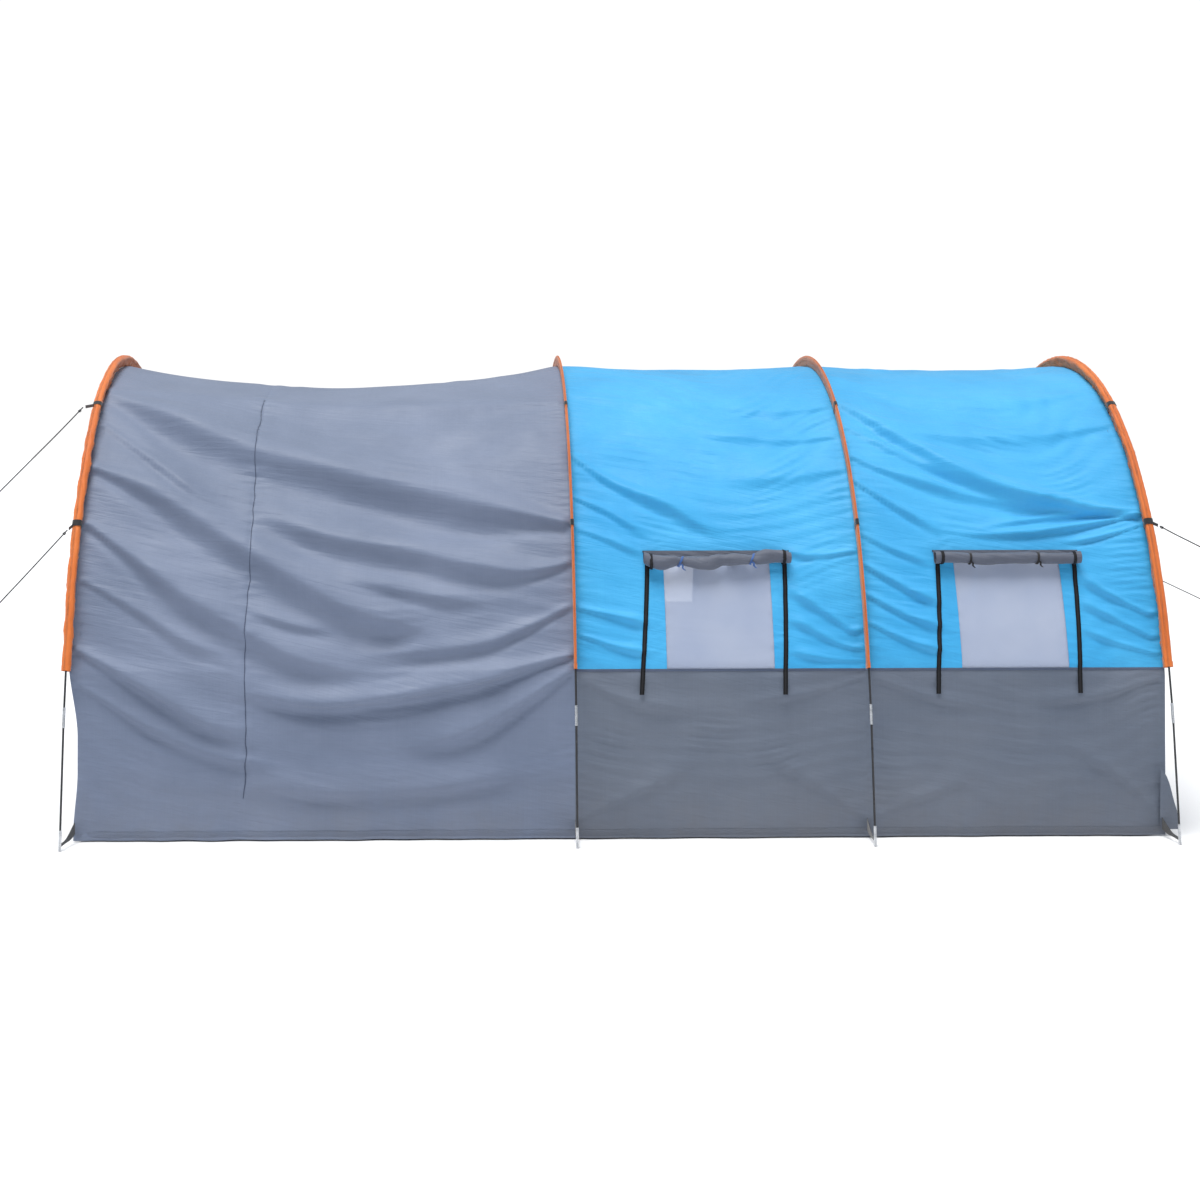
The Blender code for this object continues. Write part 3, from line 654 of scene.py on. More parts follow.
def cloth_material(name, dark, light, dust=None, thread=0.0012, sheen=0.25, rough=(0.46, 0.64), crease=0.5):
    """Coated taffeta: warp and weft threads, slubs, crinkle, uneven sheen and dust near the ground."""
    n = Nodes(name)
    flat = n.coordinates("UV")
    solid = n.coordinates("Object")
    broad = n.noise(solid, 1.7, 4.0, 0.6)
    colour = n.ramp(broad, [(0.30, dark), (0.70, light)])
    warp = n.noise(n.coordinates("UV", (2.0, 420.0, 1.0)), 1.0, 2.0)
    weft = n.noise(n.coordinates("UV", (420.0, 2.0, 1.0)), 1.0, 2.0)
    slubs = n.math("ADD", warp, weft)
    colour = n.mix(n.between(slubs, 0.0, 0.16, 0.6, 1.4), colour, (1.0, 1.0, 1.0), "SOFT_LIGHT")
    fine = n.noise(solid, 38.0, 3.0, 0.6)
    colour = n.mix(n.between(fine, 0.0, 0.12, 0.35, 0.75), colour, dark)
    if dust is not None:
        separate = n.add("ShaderNodeSeparateXYZ")
        n.link(solid, separate.inputs[0])
        low = n.between(separate.outputs["Z"], 0.55, 0.0, 0.02, 0.34)
        patchy = n.math("MULTIPLY", low, n.between(n.noise(solid, 6.0, 5.0, 0.7), 0.2, 1.0, 0.3, 0.7))
        colour = n.mix(patchy, colour, dust)
    n.link(colour, n.shader.inputs["Base Color"])
    n.link(n.between(n.noise(solid, 5.0, 4.0, 0.6), *rough, 0.3, 0.7), n.shader.inputs["Roughness"])
    weave = n.math("ADD", n.wave(flat, 0.159 / thread, "X"), n.wave(flat, 0.159 / thread, "Y"))
    crinkle = n.noise(n.coordinates("UV", (9.0, 26.0, 1.0)), 1.0, 5.0, 0.62, 1.1)
    tension = n.noise(n.coordinates("UV", (3.5, 52.0, 1.0), turn=-0.20), 1.0, 3.0, 0.5, 0.5)
    normal = n.bump(crinkle, 0.004, crease)
    normal = n.bump(tension, 0.006, crease, normal)
    normal = n.bump(weave, 0.0002, 0.5, normal)
    n.link(normal, n.shader.inputs["Normal"])
    n.value("Sheen Weight", sheen)
    n.value("Sheen Roughness", 0.45)
    n.value("Specular IOR Level", 0.32)
    return n.material


def webbing_material(name, dark, light):
    """Woven strap: raised ribs across it, a fuzzy worn edge and dusty patches."""
    n = Nodes(name)
    flat = n.coordinates("UV")
    ribs = n.wave(n.coordinates("UV", (1.0, 0.02, 1.0)), 90.0, "X")
    colour = n.mix(n.between(ribs, 0.0, 0.55), dark, light)
    worn = n.noise(n.coordinates("Object"), 30.0, 4.0, 0.65)
    colour = n.mix(n.between(worn, 0.0, 0.5, 0.55, 0.8), colour, light)
    n.link(colour, n.shader.inputs["Base Color"])
    n.link(n.between(worn, 0.62, 0.9, 0.3, 0.7), n.shader.inputs["Roughness"])
    fibres = n.noise(flat, 900.0, 2.0, 0.6)
    n.link(n.bump(n.math("ADD", ribs, fibres), 0.0005, 0.7), n.shader.inputs["Normal"])
    n.value("Sheen Weight", 0.35)
    n.value("Sheen Roughness", 0.5)
    n.value("Specular IOR Level", 0.25)
    return n.material


def metal_material(name, dark, light, low, high):
    """Bright metal with fine turning marks, scuffs and dull patches."""
    n = Nodes(name)
    solid = n.coordinates("Object")
    colour = n.ramp(n.noise(solid, 45.0, 4.0, 0.6), [(0.35, dark), (0.7, light)])
    n.link(colour, n.shader.inputs["Base Color"])
    marks = n.noise(n.coordinates("Object", (1.0, 1.0, 60.0)), 40.0, 3.0, 0.6)
    n.link(n.between(marks, low, high, 0.3, 0.7), n.shader.inputs["Roughness"])
    n.link(n.bump(marks, 0.00015, 0.4), n.shader.inputs["Normal"])
    n.value("Metallic", 1.0)
    return n.material


def rod_material():
    """Black pultruded fibreglass: long fibre streaks under a satin resin, with scuffs."""
    n = Nodes("rod")
    streaks = n.noise(n.coordinates("Object", (160.0, 160.0, 3.0)), 1.0, 3.0, 0.6)
    scuffs = n.noise(n.coordinates("Object"), 24.0, 5.0, 0.7)
    colour = n.ramp(streaks, [(0.3, (0.010, 0.010, 0.012)), (0.75, (0.032, 0.032, 0.036))])
    colour = n.mix(n.between(scuffs, 0.0, 0.6, 0.62, 0.75), colour, (0.11, 0.11, 0.12))
    n.link(colour, n.shader.inputs["Base Color"])
    n.link(n.between(scuffs, 0.26, 0.55, 0.35, 0.7), n.shader.inputs["Roughness"])
    n.link(n.bump(streaks, 0.0002, 0.4), n.shader.inputs["Normal"])
    n.value("Coat Weight", 0.3)
    n.value("Coat Roughness", 0.3)
    return n.material


def net_material():
    """Fine insect net: a square mesh of threads that lets some light through."""
    n = Nodes("net")
    flat = n.coordinates("UV")
    broad = n.noise(n.coordinates("Object"), 4.0, 3.0, 0.6)
    colour = n.ramp(broad, [(0.3, (0.42, 0.51, 0.74)), (0.7, (0.52, 0.60, 0.80))])
    threads = n.math("MAXIMUM", n.wave(flat, 105.0, "X"), n.wave(flat, 105.0, "Y"))
    colour = n.mix(n.between(threads, 0.0, 0.5, 0.4, 1.0), colour, (0.60, 0.64, 0.76))
    n.link(colour, n.shader.inputs["Base Color"])
    n.link(n.between(threads, 0.50, 0.78, 0.2, 0.9), n.shader.inputs["Alpha"])
    n.link(n.between(broad, 0.6, 0.8, 0.3, 0.7), n.shader.inputs["Roughness"])
    n.link(n.bump(threads, 0.0003, 0.6), n.shader.inputs["Normal"])
    n.value("Sheen Weight", 0.2)
    n.value("Specular IOR Level", 0.25)
    return n.material


def cord_material(name, dark, light):
    """Braided cord: crossing strands with a fleck."""
    n = Nodes(name)
    solid = n.coordinates("Object")
    strands = n.wave(solid, 260.0, "DIAGONAL")
    fleck = n.noise(solid, 420.0, 2.0)
    colour = n.mix(strands, dark, light)
    colour = n.mix(n.between(fleck, 0.0, 0.5, 0.6, 0.75), colour, (0.045, 0.045, 0.05))
    n.link(colour, n.shader.inputs["Base Color"])
    n.link(n.between(fleck, 0.6, 0.85), n.shader.inputs["Roughness"])
    n.link(n.bump(strands, 0.0003, 0.8), n.shader.inputs["Normal"])
    n.value("Sheen Weight", 0.2)
    return n.material


def zip_material():
    """A coil zip on its tape: teeth down the middle and woven tape each side."""
    n = Nodes("zip")
    flat = n.coordinates("UV")
    separate = n.add("ShaderNodeSeparateXYZ")
    n.link(flat, separate.inputs[0])
    off = n.math("ABSOLUTE", n.math("SUBTRACT", separate.outputs["Y"], 0.5))
    coil = n.between(off, 1.0, 0.0, 0.12, 0.20)
    teeth = n.math("MULTIPLY", n.wave(flat, 100.0, "X"), coil)
    colour = n.mix(teeth, (0.003, 0.003, 0.004), (0.020, 0.020, 0.024))
    worn = n.noise(n.coordinates("Object"), 26.0, 4.0, 0.65)
    colour = n.mix(n.between(worn, 0.0, 0.3, 0.55, 0.8), colour, (0.012, 0.012, 0.016))
    n.link(colour, n.shader.inputs["Base Color"])
    n.value("Specular IOR Level", 0.25)
    n.link(n.between(teeth, 0.85, 0.55), n.shader.inputs["Roughness"])
    n.link(n.bump(n.math("ADD", teeth, n.noise(flat, 700.0, 2.0)), 0.0006, 0.7), n.shader.inputs["Normal"])
    return n.material


GREY = cloth_material("grey_cloth", (0.136, 0.170, 0.252), (0.182, 0.220, 0.318), (0.16, 0.17, 0.20))
WALL_GREY = cloth_material("wall_grey", (0.104, 0.128, 0.176), (0.136, 0.160, 0.208), (0.14, 0.14, 0.155))
BLUE = cloth_material("blue_cloth", (0.026, 0.305, 0.635), (0.056, 0.396, 0.745))
ORANGE = cloth_material("sleeve_cloth", (0.56, 0.115, 0.020), (0.74, 0.190, 0.040), thread=0.0010, crease=0.8)
COVER = cloth_material("cover_cloth", (0.066, 0.078, 0.112), (0.110, 0.122, 0.160), crease=1.0)
FLOOR = cloth_material(
    "floor_cloth", (0.110, 0.118, 0.140), (0.150, 0.158, 0.182), thread=0.003, rough=(0.35, 0.5)
)
SEAM = cloth_material("seam_tape", (0.050, 0.070, 0.125), (0.080, 0.105, 0.175), thread=0.0010)
BLUE_TIE = cloth_material("blue_tie", (0.030, 0.085, 0.30), (0.060, 0.150, 0.42), thread=0.0010)
WEBBING = webbing_material("webbing", (0.008, 0.008, 0.010), (0.028, 0.028, 0.032))
METAL = metal_material("bright_steel", (0.55, 0.56, 0.58), (0.82, 0.83, 0.85), 0.18, 0.42)
SLIDER = metal_material("slider_metal", (0.40, 0.40, 0.42), (0.66, 0.66, 0.68), 0.25, 0.5)
ROD = rod_material()
NET = net_material()
CORD = cord_material("guy_cord", (0.010, 0.010, 0.012), (0.040, 0.040, 0.046))
ZIP = zip_material()


def fix(item, body):
    """The piece moves with a body."""
    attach(item, body)
    return item


def paint(node, material):
    """The CAD piece shows as it is, in a finished material."""
    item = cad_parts[node]
    item.data.materials.clear()
    item.data.materials.append(material)


# ---- Guy lines --------------------------------------------------------------------------------

LINES = {
    "front_high": [(-2.43, -0.922, 1.884), (-2.53, -0.975, 1.768), (-2.63, -1.030, 1.656),
                   (-2.73, -1.085, 1.544), (-2.83, -1.140, 1.433)],
    "front_low": [(-2.43, -1.258, 1.343), (-2.52, -1.299, 1.238), (-2.61, -1.340, 1.134),
                  (-2.70, -1.382, 1.031), (-2.78, -1.418, 0.939)],
    "rear_near": [(2.43, -1.250, 1.352), (2.50, -1.243, 1.316), (2.57, -1.237, 1.282),
                  (2.64, -1.231, 1.248), (2.71, -1.225, 1.214)],
    "rear_far": [(2.43, 1.250, 1.352), (2.74, 1.222, 1.196), (3.05, 1.194, 1.044),
                 (3.36, 1.166, 0.893), (3.69, 1.136, 0.735)],
}
LINE_DIAMETER = 0.0055
KNOT_SIZE = 0.0042
KNOT_CORD = 0.0016


def knot(name, place, along):
    """An overhand knot: a short trefoil of cord round the line's end."""
    along = Vector(along).normalized()
    side = along.cross(Vector((0, 0, 1))).normalized()
    top = side.cross(along)
    angle = np.linspace(0, 2 * math.pi, 61)[:-1]
    a = KNOT_SIZE * (np.sin(angle) + 2 * np.sin(2 * angle)) / 2.2
    b = KNOT_SIZE * (np.cos(angle) - 2 * np.cos(2 * angle)) / 2.2
    c = KNOT_SIZE * -np.sin(3 * angle) * 1.1
    line = np.array(place) + np.stack([a, b, c], -1) @ np.array([side, top, along])
    line = np.concatenate([line, line[:2]])
    return tube(name, line, KNOT_CORD, CORD, sides=8)


def add_line(name, points):
    """A taut guy line, which leaves the tent at the first point."""
    route = curve_through(points, steps=5)
    data = bpy.data.curves.new(f"guy_{name}", "CURVE")
    data.dimensions = "3D"
    data.bevel_depth = LINE_DIAMETER / 2
    data.bevel_resolution = 3
    data.use_fill_caps = True
    spline = data.splines.new("POLY")
    spline.points.add(len(route) - 1)
    for point, place in zip(spline.points, route):
        point.co = (*place, 1)
    item = bpy.data.objects.new(f"guy_{name}", data)
    SCENE.objects.link(item)
    data.materials.append(CORD)
    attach(item, "tent")
    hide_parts(f"line_{name}")
    first = knot(f"knot_{name}", route[1], route[1] - route[0])
    last = knot(f"far_knot_{name}", route[-1], route[-1] - route[-2])
    for piece in (first, last):
        fix(piece, "tent")
    paint(f"eye_{name}", METAL)


for line_name, line_points in LINES.items():
    add_line(line_name, line_points)

# ---- Rods, ferrules and tips ------------------------------------------------------------------

for arch in "abcd":
    paint(f"rod_{arch}", ROD)
    for side_name in SIDES:
        paint(f"ferrule_{arch}_{side_name}", METAL)
        paint(f"tip_{arch}_{side_name}", METAL)

# ---- Sleeves ----------------------------------------------------------------------------------

SLEEVE_RING = [
    (-0.0105, 0.0000), (-0.0090, 0.0065), (-0.0055, 0.0105), (0.0000, 0.0130), (0.0070, 0.0132),
    (0.0140, 0.0112), (0.0230, 0.0085), (0.0320, 0.0066), (0.0440, 0.0056), (0.0470, 0.0000),
]


# how full each sleeve is: the end ones stand open, the middle ones are pulled flat
SLEEVE_FULLNESS = {"a": 1.45, "b": 0.48, "c": 0.48, "d": 1.40}
STITCH_DEPTH = 0.0135


def sleeve_ring(arch, grow=0.0):
    """The sleeve's section as (depth inside the rod, sideways), round the rod and down its fin."""
    full = SLEEVE_FULLNESS[arch]
    half = [(d - (grow if d <= 0 else 0), w * full + grow if w else 0.0) for d, w in SLEEVE_RING]
    return np.array(half + [(d, -w) for d, w in reversed(half[1:-1])])


def arch_loft(name, arch, t_signed, ring, material, wrinkle=0.0, seed=0):
    """A section swept along an arch. t_signed is negative on the near side."""
    t = np.abs(t_signed)
    sign = np.where(t_signed < 0, -1.0, 1.0)
    across0, up0, upright, lean = arch_point(t, 0.0)
    run = distance_run(sign * across0, up0)
    depth = ring[None, :, 0]
    wide = ring[None, :, 1]
    if wrinkle:
        soft = smooth(depth, -0.010, 0.012)
        place = run[:, None]
        wave = ripples(place, depth * 6 + wide * 9, seed, 10, 0.16, 0.03)
        slack = ripples(place, depth * 3, seed + 1, 8, 0.6, 0.12)
        wide = wide + wrinkle * soft * (wave * 0.8 + slack)
        depth = depth + wrinkle * 0.5 * (1 - soft) * wave * np.sign(0.001 - depth)
    across = sign[:, None] * (across0[:, None] - depth * upright[:, None])
    up = up0[:, None] - depth * lean[:, None]
    points = np.stack([ARCH_X[arch] + wide + across * 0, across, up + wide * 0], -1)
    girth = distance_run(*ring.T)
    uv = np.stack(np.broadcast_arrays(run[:, None], girth[None, :]), -1)
    faces = grid_faces(len(t), len(ring), wrap=True).tolist()
    return mesh_object(name, points, faces, uv, material, sharp=70)


def add_sleeve(arch):
    full = SLEEVE_FULLNESS[arch]
    t = spaced_t(SLEEVE_END, SLEEVE_DEPTH, 0.012)
    whole = np.concatenate([-t[::-1], t[1:]])
    ring = sleeve_ring(arch)
    item = arch_loft(f"sleeve_cloth_{arch}", arch, whole, ring, ORANGE, 0.0010 * full**2, ord(arch))
    fix(item, "tent")
    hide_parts(f"sleeve_{arch}")
    # a row of stitches on each face holds the tunnel for the rod
    across, up, _, _ = arch_point(t, STITCH_DEPTH)
    across = np.concatenate([-across[::-1], across[1:]])
    up = np.concatenate([up[::-1], up[1:]])
    for face, offset in (("left", -1), ("right", 1)):
        line = np.stack([ARCH_X[arch] + offset * 0.0116 * full + across * 0, across, up], -1)
        fix(tube(f"sleeve_stitch_{arch}_{face}", line, 0.0007, ORANGE, sides=5), "tent")
    for side_name, side in SIDES.items():
        end_t = spaced_t(SLEEVE_END, 0.0, 0.004)[-7:] * side
        cuff = arch_loft(f"sleeve_cuff_{arch}_{side_name}", arch, end_t, sleeve_ring(arch, 0.0012), ORANGE)
        fix(cuff, "tent")


for arch in "abcd":
    add_sleeve(arch)

BAND_LOOPS = {("a", "near", "high"): "front_high", ("a", "near", "low"): "front_low",
              ("d", "near", "low"): "rear_near", ("d", "far", "low"): "rear_far"}
BAND_HEIGHTS = {"high": 1.885, "low": 1.36}


def add_band(arch, side_name, level):
    """The webbing loop sewn round a sleeve, where a guy line may be tied."""
    side = SIDES[side_name]
    centre = t_at(BAND_HEIGHTS[level], SLEEVE_DEPTH)
    t = centre + np.linspace(-0.0050, 0.0050, 5)
    item = arch_loft(f"band_{arch}_{side_name}_{level}", arch, t * side, sleeve_ring(arch, 0.0021), WEBBING)
    fix(item, "tent")
    loop = BAND_LOOPS.get((arch, side_name, level))
    if loop:
        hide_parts(f"loop_{loop}")
        start = np.array(LINES[loop][0])
        outward = 1 if start[0] > 0 else -1
        across, up, _, _ = arch_point(centre, 0.004)
        base = np.array([ARCH_X[arch] + outward * 0.010, side * float(across), float(up)])
        reach = start - base
        line = base + np.linspace(0, 1, 8)[:, None] * reach * 0.8
        tab = ribbon(f"band_tab_{loop}", line, (0, 0.35 * side, 1), (0, side, 0.0), 0.014, 0.0018, WEBBING)
        fix(tab, "tent")


for arch in "abcd":
    for side_name in SIDES:
        for level in BAND_HEIGHTS:
            add_band(arch, side_name, level)

# ---- Canopies and walls -----------------------------------------------------------------------

STEP = 0.018
STEP_DOWN = 0.008
NET_MARGIN = 0.012


def both_sides(vs):
    """Steps down one side as steps over the whole tunnel, near side first."""
    vs = np.asarray(vs)
    return np.concatenate([vs[::-1], vs[1:]]), np.concatenate([-np.ones(len(vs)), np.ones(len(vs) - 1)])


def spread(low, high, step, *through):
    """Steps from low to high that pass through every value named."""
    marks = sorted({low, high, *[m for m in through if low < m < high]})
    steps = [np.linspace(a, b, max(1, int(round((b - a) / step))) + 1)[:-1] for a, b in zip(marks, marks[1:])]
    return np.concatenate([*steps, [marks[-1]]])


def add_sheet(item, node):
    """The piece takes a CAD shell's place, and moves with the tent."""
    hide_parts(node)
    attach(item, "tent")


def add_porch():
    low, high = bay_ends("porch")
    seam = low + PORCH_SEAM
    xs = spread(low + 0.002, high, STEP, seam - 0.010, seam - 0.004, seam, seam + 0.004, seam + 0.010)
    vs, sides = both_sides(spread(0.0, V_FLOOR, STEP_DOWN, V_SEAM))
    points, _ = cloth_at("porch", xs[:, None], vs[None, :], sides[None, :])
    # below the sleeve the free edge pulls in from the pole
    z = points[..., 2]
    free = smooth(z, SLEEVE_END + 0.05, 0.45) * (1 - 0.45 * smooth(z, 0.30, 0.03))
    points[..., 0] += 0.040 * free * np.exp(-(xs[:, None] - low) / 0.35)
    uv = np.stack(np.broadcast_arrays(xs[:, None], (vs * sides)[None, :]), -1).reshape(-1, 2)
    item = mesh_object("porch_cloth", points, grid_faces(len(xs), len(vs)), uv, GREY)
    add_sheet(item, "porch_canopy")


def round_window(xs, vs, bay):
    """Which of the grid's faces are cloth, and not the window's opening."""
    left, right = WINDOWS[bay]
    x = (xs[:-1] + xs[1:]) / 2
    v = (vs[:-1] + vs[1:]) / 2
    open_x = (x > left) & (x < right)
    open_v = v > v_at(WINDOW_TOP)
    return ~(open_x[:, None] & open_v[None, :])


def add_wall(bay, xs, side_name):
    vs = spread(V_SEAM, V_FLOOR, STEP_DOWN)
    sides = np.full(len(vs), float(SIDES[side_name]))
    wall = cloth_grid(f"{bay}_wall_cloth_{side_name}", bay, xs, vs[:: SIDES[side_name]], sides, WALL_GREY)
    add_sheet(wall, f"{bay}_wall_{side_name}")


def add_net(bay, side_name):
    left, right = WINDOWS[bay]
    top = float(v_at(WINDOW_TOP))
    xs = spread(left - NET_MARGIN, right + NET_MARGIN, 0.012)
    vs = spread(top - NET_MARGIN, V_SEAM + 0.008, 0.012)
    sides = np.full(len(vs), float(SIDES[side_name]))
    net = cloth_grid(f"{bay}_net_{side_name}", bay, xs, vs[:: SIDES[side_name]], sides, NET, lift=-0.004)
    add_sheet(net, f"{bay}_window_{side_name}")


def add_room(bay):
    low, high = bay_ends(bay)
    left, right = WINDOWS[bay]
    xs = spread(low, high, STEP * 0.85, left, right)
    top = float(v_at(WINDOW_TOP))
    vs, sides = both_sides(spread(0.0, V_SEAM, STEP_DOWN, top))
    item = cloth_grid(f"{bay}_cloth", bay, xs, vs, sides, BLUE, keep=round_window(xs, vs, bay))
    add_sheet(item, f"{bay}_canopy")
    for side_name in SIDES:
        add_wall(bay, xs, side_name)
        add_net(bay, side_name)


add_porch()
for bay in ROOMS:
    add_room(bay)

# ---- Seams, hems and foot straps --------------------------------------------------------------


FLAP = (0.085, 0.28)


def strap_on_cloth(name, bay, side, xs, heights, width, thick, lift, material):
    """A strap that lies on the cloth, along the tunnel or up it."""
    line, out = on_cloth(bay, xs, heights, side, lift)
    direction = np.gradient(line, axis=0)
    direction /= np.linalg.norm(direction, axis=1)[:, None]
    item = ribbon(name, line, np.cross(direction, out), out, width, thick, material)
    return fix(item, "tent")


def add_trims():
    for bay in BAYS:
        low, high = bay_ends(bay)
        for side_name, side in SIDES.items():
            cloth, start = (GREY, 0.035) if bay == "porch" else (WALL_GREY, 0.004)
            xs = spread(low + start, high - 0.004, 0.02)
            hem = f"{bay}_hem_{side_name}"
            strap_on_cloth(hem, bay, side, xs, xs * 0 + HEM_HEIGHT, 0.024, 0.0012, 0.0006, cloth)
            if bay in ROOMS:
                seam = f"{bay}_seam_{side_name}"
                strap_on_cloth(seam, bay, side, xs, xs * 0 + SEAM_HEIGHT, 0.011, 0.0014, 0.0006, SEAM)
    heights = np.linspace(PORCH_SEAM_TOP, PORCH_SEAM_FOOT, 160)
    wander = 0.006 * ripples(heights, heights * 0, 47, 7, 1.1, 0.25)
    wander += 0.0016 * ripples(heights, heights * 0, 48, 7, 0.12, 0.05)
    xs = bay_ends("porch")[0] + PORCH_SEAM + wander
    for side_name, side in SIDES.items():
        strap_on_cloth(f"porch_seam_{side_name}", "porch", side, xs, heights, 0.0045, 0.0010, 0.0004, SEAM)


def add_foot_straps():
    """The webbing from each bottom corner to the tip beside it."""
    for arch in "abcd":
        for side_name, side in SIDES.items():
            tip = f"tip_{arch}_{side_name}"
            foot = np.array([middle(tip, 0), middle(tip, 1), 0.022])
            inset = {"a": 0.030, "d": -0.020}.get(arch, 0.0)
            corner = np.array([ARCH_X[arch] + inset, side * (HEM_ACROSS + 0.004), HEM_HEIGHT + 0.030])
            share = np.linspace(0, 1, 12)
            line = corner + share[:, None] * (foot - corner)
            line[:, 2] -= 0.010 * np.sin(math.pi * share)
            width = 0.052 - 0.038 * smooth(share, 0.0, 0.75)
            name = f"foot_strap_{arch}_{side_name}"
            fix(ribbon(name, line, (0, 0, 1), (1, 0, 0), width, 0.0022, WEBBING), "tent")


def add_corner_flaps():
    """The loose corners of cloth that stick out under the rear arch."""
    for side_name, side in SIDES.items():
        share = np.linspace(0, 1, 12)
        down, out = np.meshgrid(share, share, indexing="ij")
        x = ARCH_X["d"] - 0.030 + FLAP[0] * np.sin(math.pi * 0.55 * down) * out
        z = 0.300 - 0.270 * down + 0.015 * out * np.sin(3 * math.pi * down)
        across = HEM_ACROSS + 0.010 + 0.045 * (z - HEM_HEIGHT) + 0.018 * out * np.sin(5 * down + 1.0) * down
        points = np.stack([x, side * across, z], -1)
        uv = np.stack([x, z], -1)
        item = mesh_object(f"corner_flap_{side_name}", points, grid_faces(12, 12), uv, WALL_GREY)
        fix(item, "tent")


add_trims()
add_foot_straps()
add_corner_flaps()

# ---- Window covers, their ties and zips -------------------------------------------------------

TIES = {"middle": ((0.25, BLUE_TIE), (0.73, BLUE_TIE)), "rear": ((0.24, WEBBING), (0.70, WEBBING))}
LUMPS = {"middle": 0.34, "rear": 0.12}
FULLNESS = {"middle": 1.30, "rear": 1.12}
ROLL_TURNS = 4.4
ZIP_OFFSET = 0.31
COVER_LIFT = 0.009
COVER_TOP = 1.240
COVER_FOLD = 1.206


def roll_frame(bay, side_name):
    """The rolled cover's box in the frame: its low and high corners, its middle and its radius."""
    low, high = (np.array(corner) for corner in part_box(f"{bay}_cover_{side_name}"))
    return low, high, (low + high) / 2, float(high[2] - low[2]) / 2


def roll_axis(bay, side_name, xs):
    """The middle line of the rolled cover, which sags a little between its ties."""
    low, high, centre, _ = roll_frame(bay, side_name)
    share = (xs - low[0]) / (high[0] - low[0])
    seed = 60 + len(bay) + len(side_name)
    amount = LUMPS[bay] * 0.025
    wander = amount * ripples(xs, xs * 0, seed, 6, 0.5, 0.18)
    fuller = (FULLNESS[bay] - 1) * float(high[2] - low[2]) / 2
    across = centre[1] + SIDES[side_name] * (fuller + 0.002) + wander * 0.5
    return np.stack([xs, across, centre[2] - 0.6 * fuller - 0.004 * np.sin(math.pi * share) + wander], -1)


def roll_radius(bay, side_name, xs, angle, radius):
    """The roll's outside, pulled in under each tie and lumpy between them."""
    low, high, _, _ = roll_frame(bay, side_name)
    share = (xs - low[0]) / (high[0] - low[0])
    lumps = ripples(xs, angle * 0.02, 70 + len(bay) + len(side_name), 9, 0.22, 0.06)
    twist = np.sin(2 * angle + 26 * xs)
    size = FULLNESS[bay] * radius * (0.93 + LUMPS[bay] * (0.28 * lumps + 0.36 * twist - 0.30))
    for place, _ in TIES[bay]:
        size = size * (1 - LUMPS[bay] * bump(share, place, 0.030))
    return np.clip(size, 0.60 * radius, FULLNESS[bay] * radius)


def ring_round(axis, size, angle, side):
    """Points at a size and angle round an axis that runs along the tunnel."""
    across = axis[..., 1] + side * size * np.cos(angle)
    return np.stack(np.broadcast_arrays(axis[..., 0], across, axis[..., 2] + size * np.sin(angle)), -1)


def press_flat(item, bay, side_name):
    """The piece gets a mesh of its own. The wall's point and outward direction at the roll's middle are
    found, but not used.
    """
    _, _, centre, _ = roll_frame(bay, side_name)
    wall, out = cloth_at(bay, float(centre[0]), float(v_at(centre[2])), SIDES[side_name], folds=False)
    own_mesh(item)


def add_roll(bay, side_name):
    body = f"{bay}_cover_{side_name}"
    low, high, centre, radius = roll_frame(bay, side_name)
    xs = spread(low[0] + 0.003, high[0] - 0.003, 0.010)
    angle = np.linspace(0, 2 * math.pi * ROLL_TURNS, int(ROLL_TURNS * 24))
    layer = 0.34 + 0.66 * angle / angle[-1]
    turned = angle + math.radians(130) - angle[-1]
    size = roll_radius(bay, side_name, xs[:, None], turned[None, :], radius) * layer[None, :]
    # the inner turns end a little further in
    off = xs[:, None] - centre[0]
    ends = 0.006 * (1 - layer[None, :]) * np.sign(off) * smooth(np.abs(off), 0.30, 0.325)
    points = ring_round(roll_axis(bay, side_name, xs)[:, None], size, turned[None, :], SIDES[side_name])
    points[..., 0] -= ends
    run = np.cumsum(np.concatenate([[0], np.diff(angle)]) * radius * layer)
    uv = np.stack(np.broadcast_arrays(xs[:, None], run[None, :]), -1)
    item = mesh_object(f"{body}_roll", points, grid_faces(len(xs), len(angle)), uv, COVER)
    fix(item, body)
    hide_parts(body)
    press_flat(item, bay, side_name)


def add_fall(bay, side_name):
    """The cloth between the cover's sewn edge and its roll, and a strip along that sewn edge."""
    side = SIDES[side_name]
    body = f"{bay}_cover_{side_name}"
    low, high, centre, _ = roll_frame(bay, side_name)
    middle_x = float(centre[0])
    top, bottom = float(v_at(COVER_TOP)), float(v_at(COVER_FOLD))
    xs = spread(low[0] + 0.006, high[0] - 0.006, 0.016)
    vs = np.linspace(top, bottom, 30)[::side]
    sides = np.full(len(vs), float(side))
    fall = cloth_grid(f"{body}_fall", bay, xs, vs, sides, COVER, lift=COVER_LIFT, folds=False)
    first, _ = cloth_at(bay, middle_x, top + 0.004, side, lift=COVER_LIFT, folds=False)
    last, _ = cloth_at(bay, middle_x, bottom - 0.002, side, lift=COVER_LIFT, folds=False)
    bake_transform(fall)
    xs = spread(low[0] + 0.002, high[0] - 0.002, 0.02)
    line, out = cloth_at(bay, xs, v_at(COVER_TOP - 0.002), side, lift=0.0045, folds=False)
    fix(ribbon(f"{body}_edge", line, (0, 0, 1), out, 0.008, 0.002, COVER), "tent")


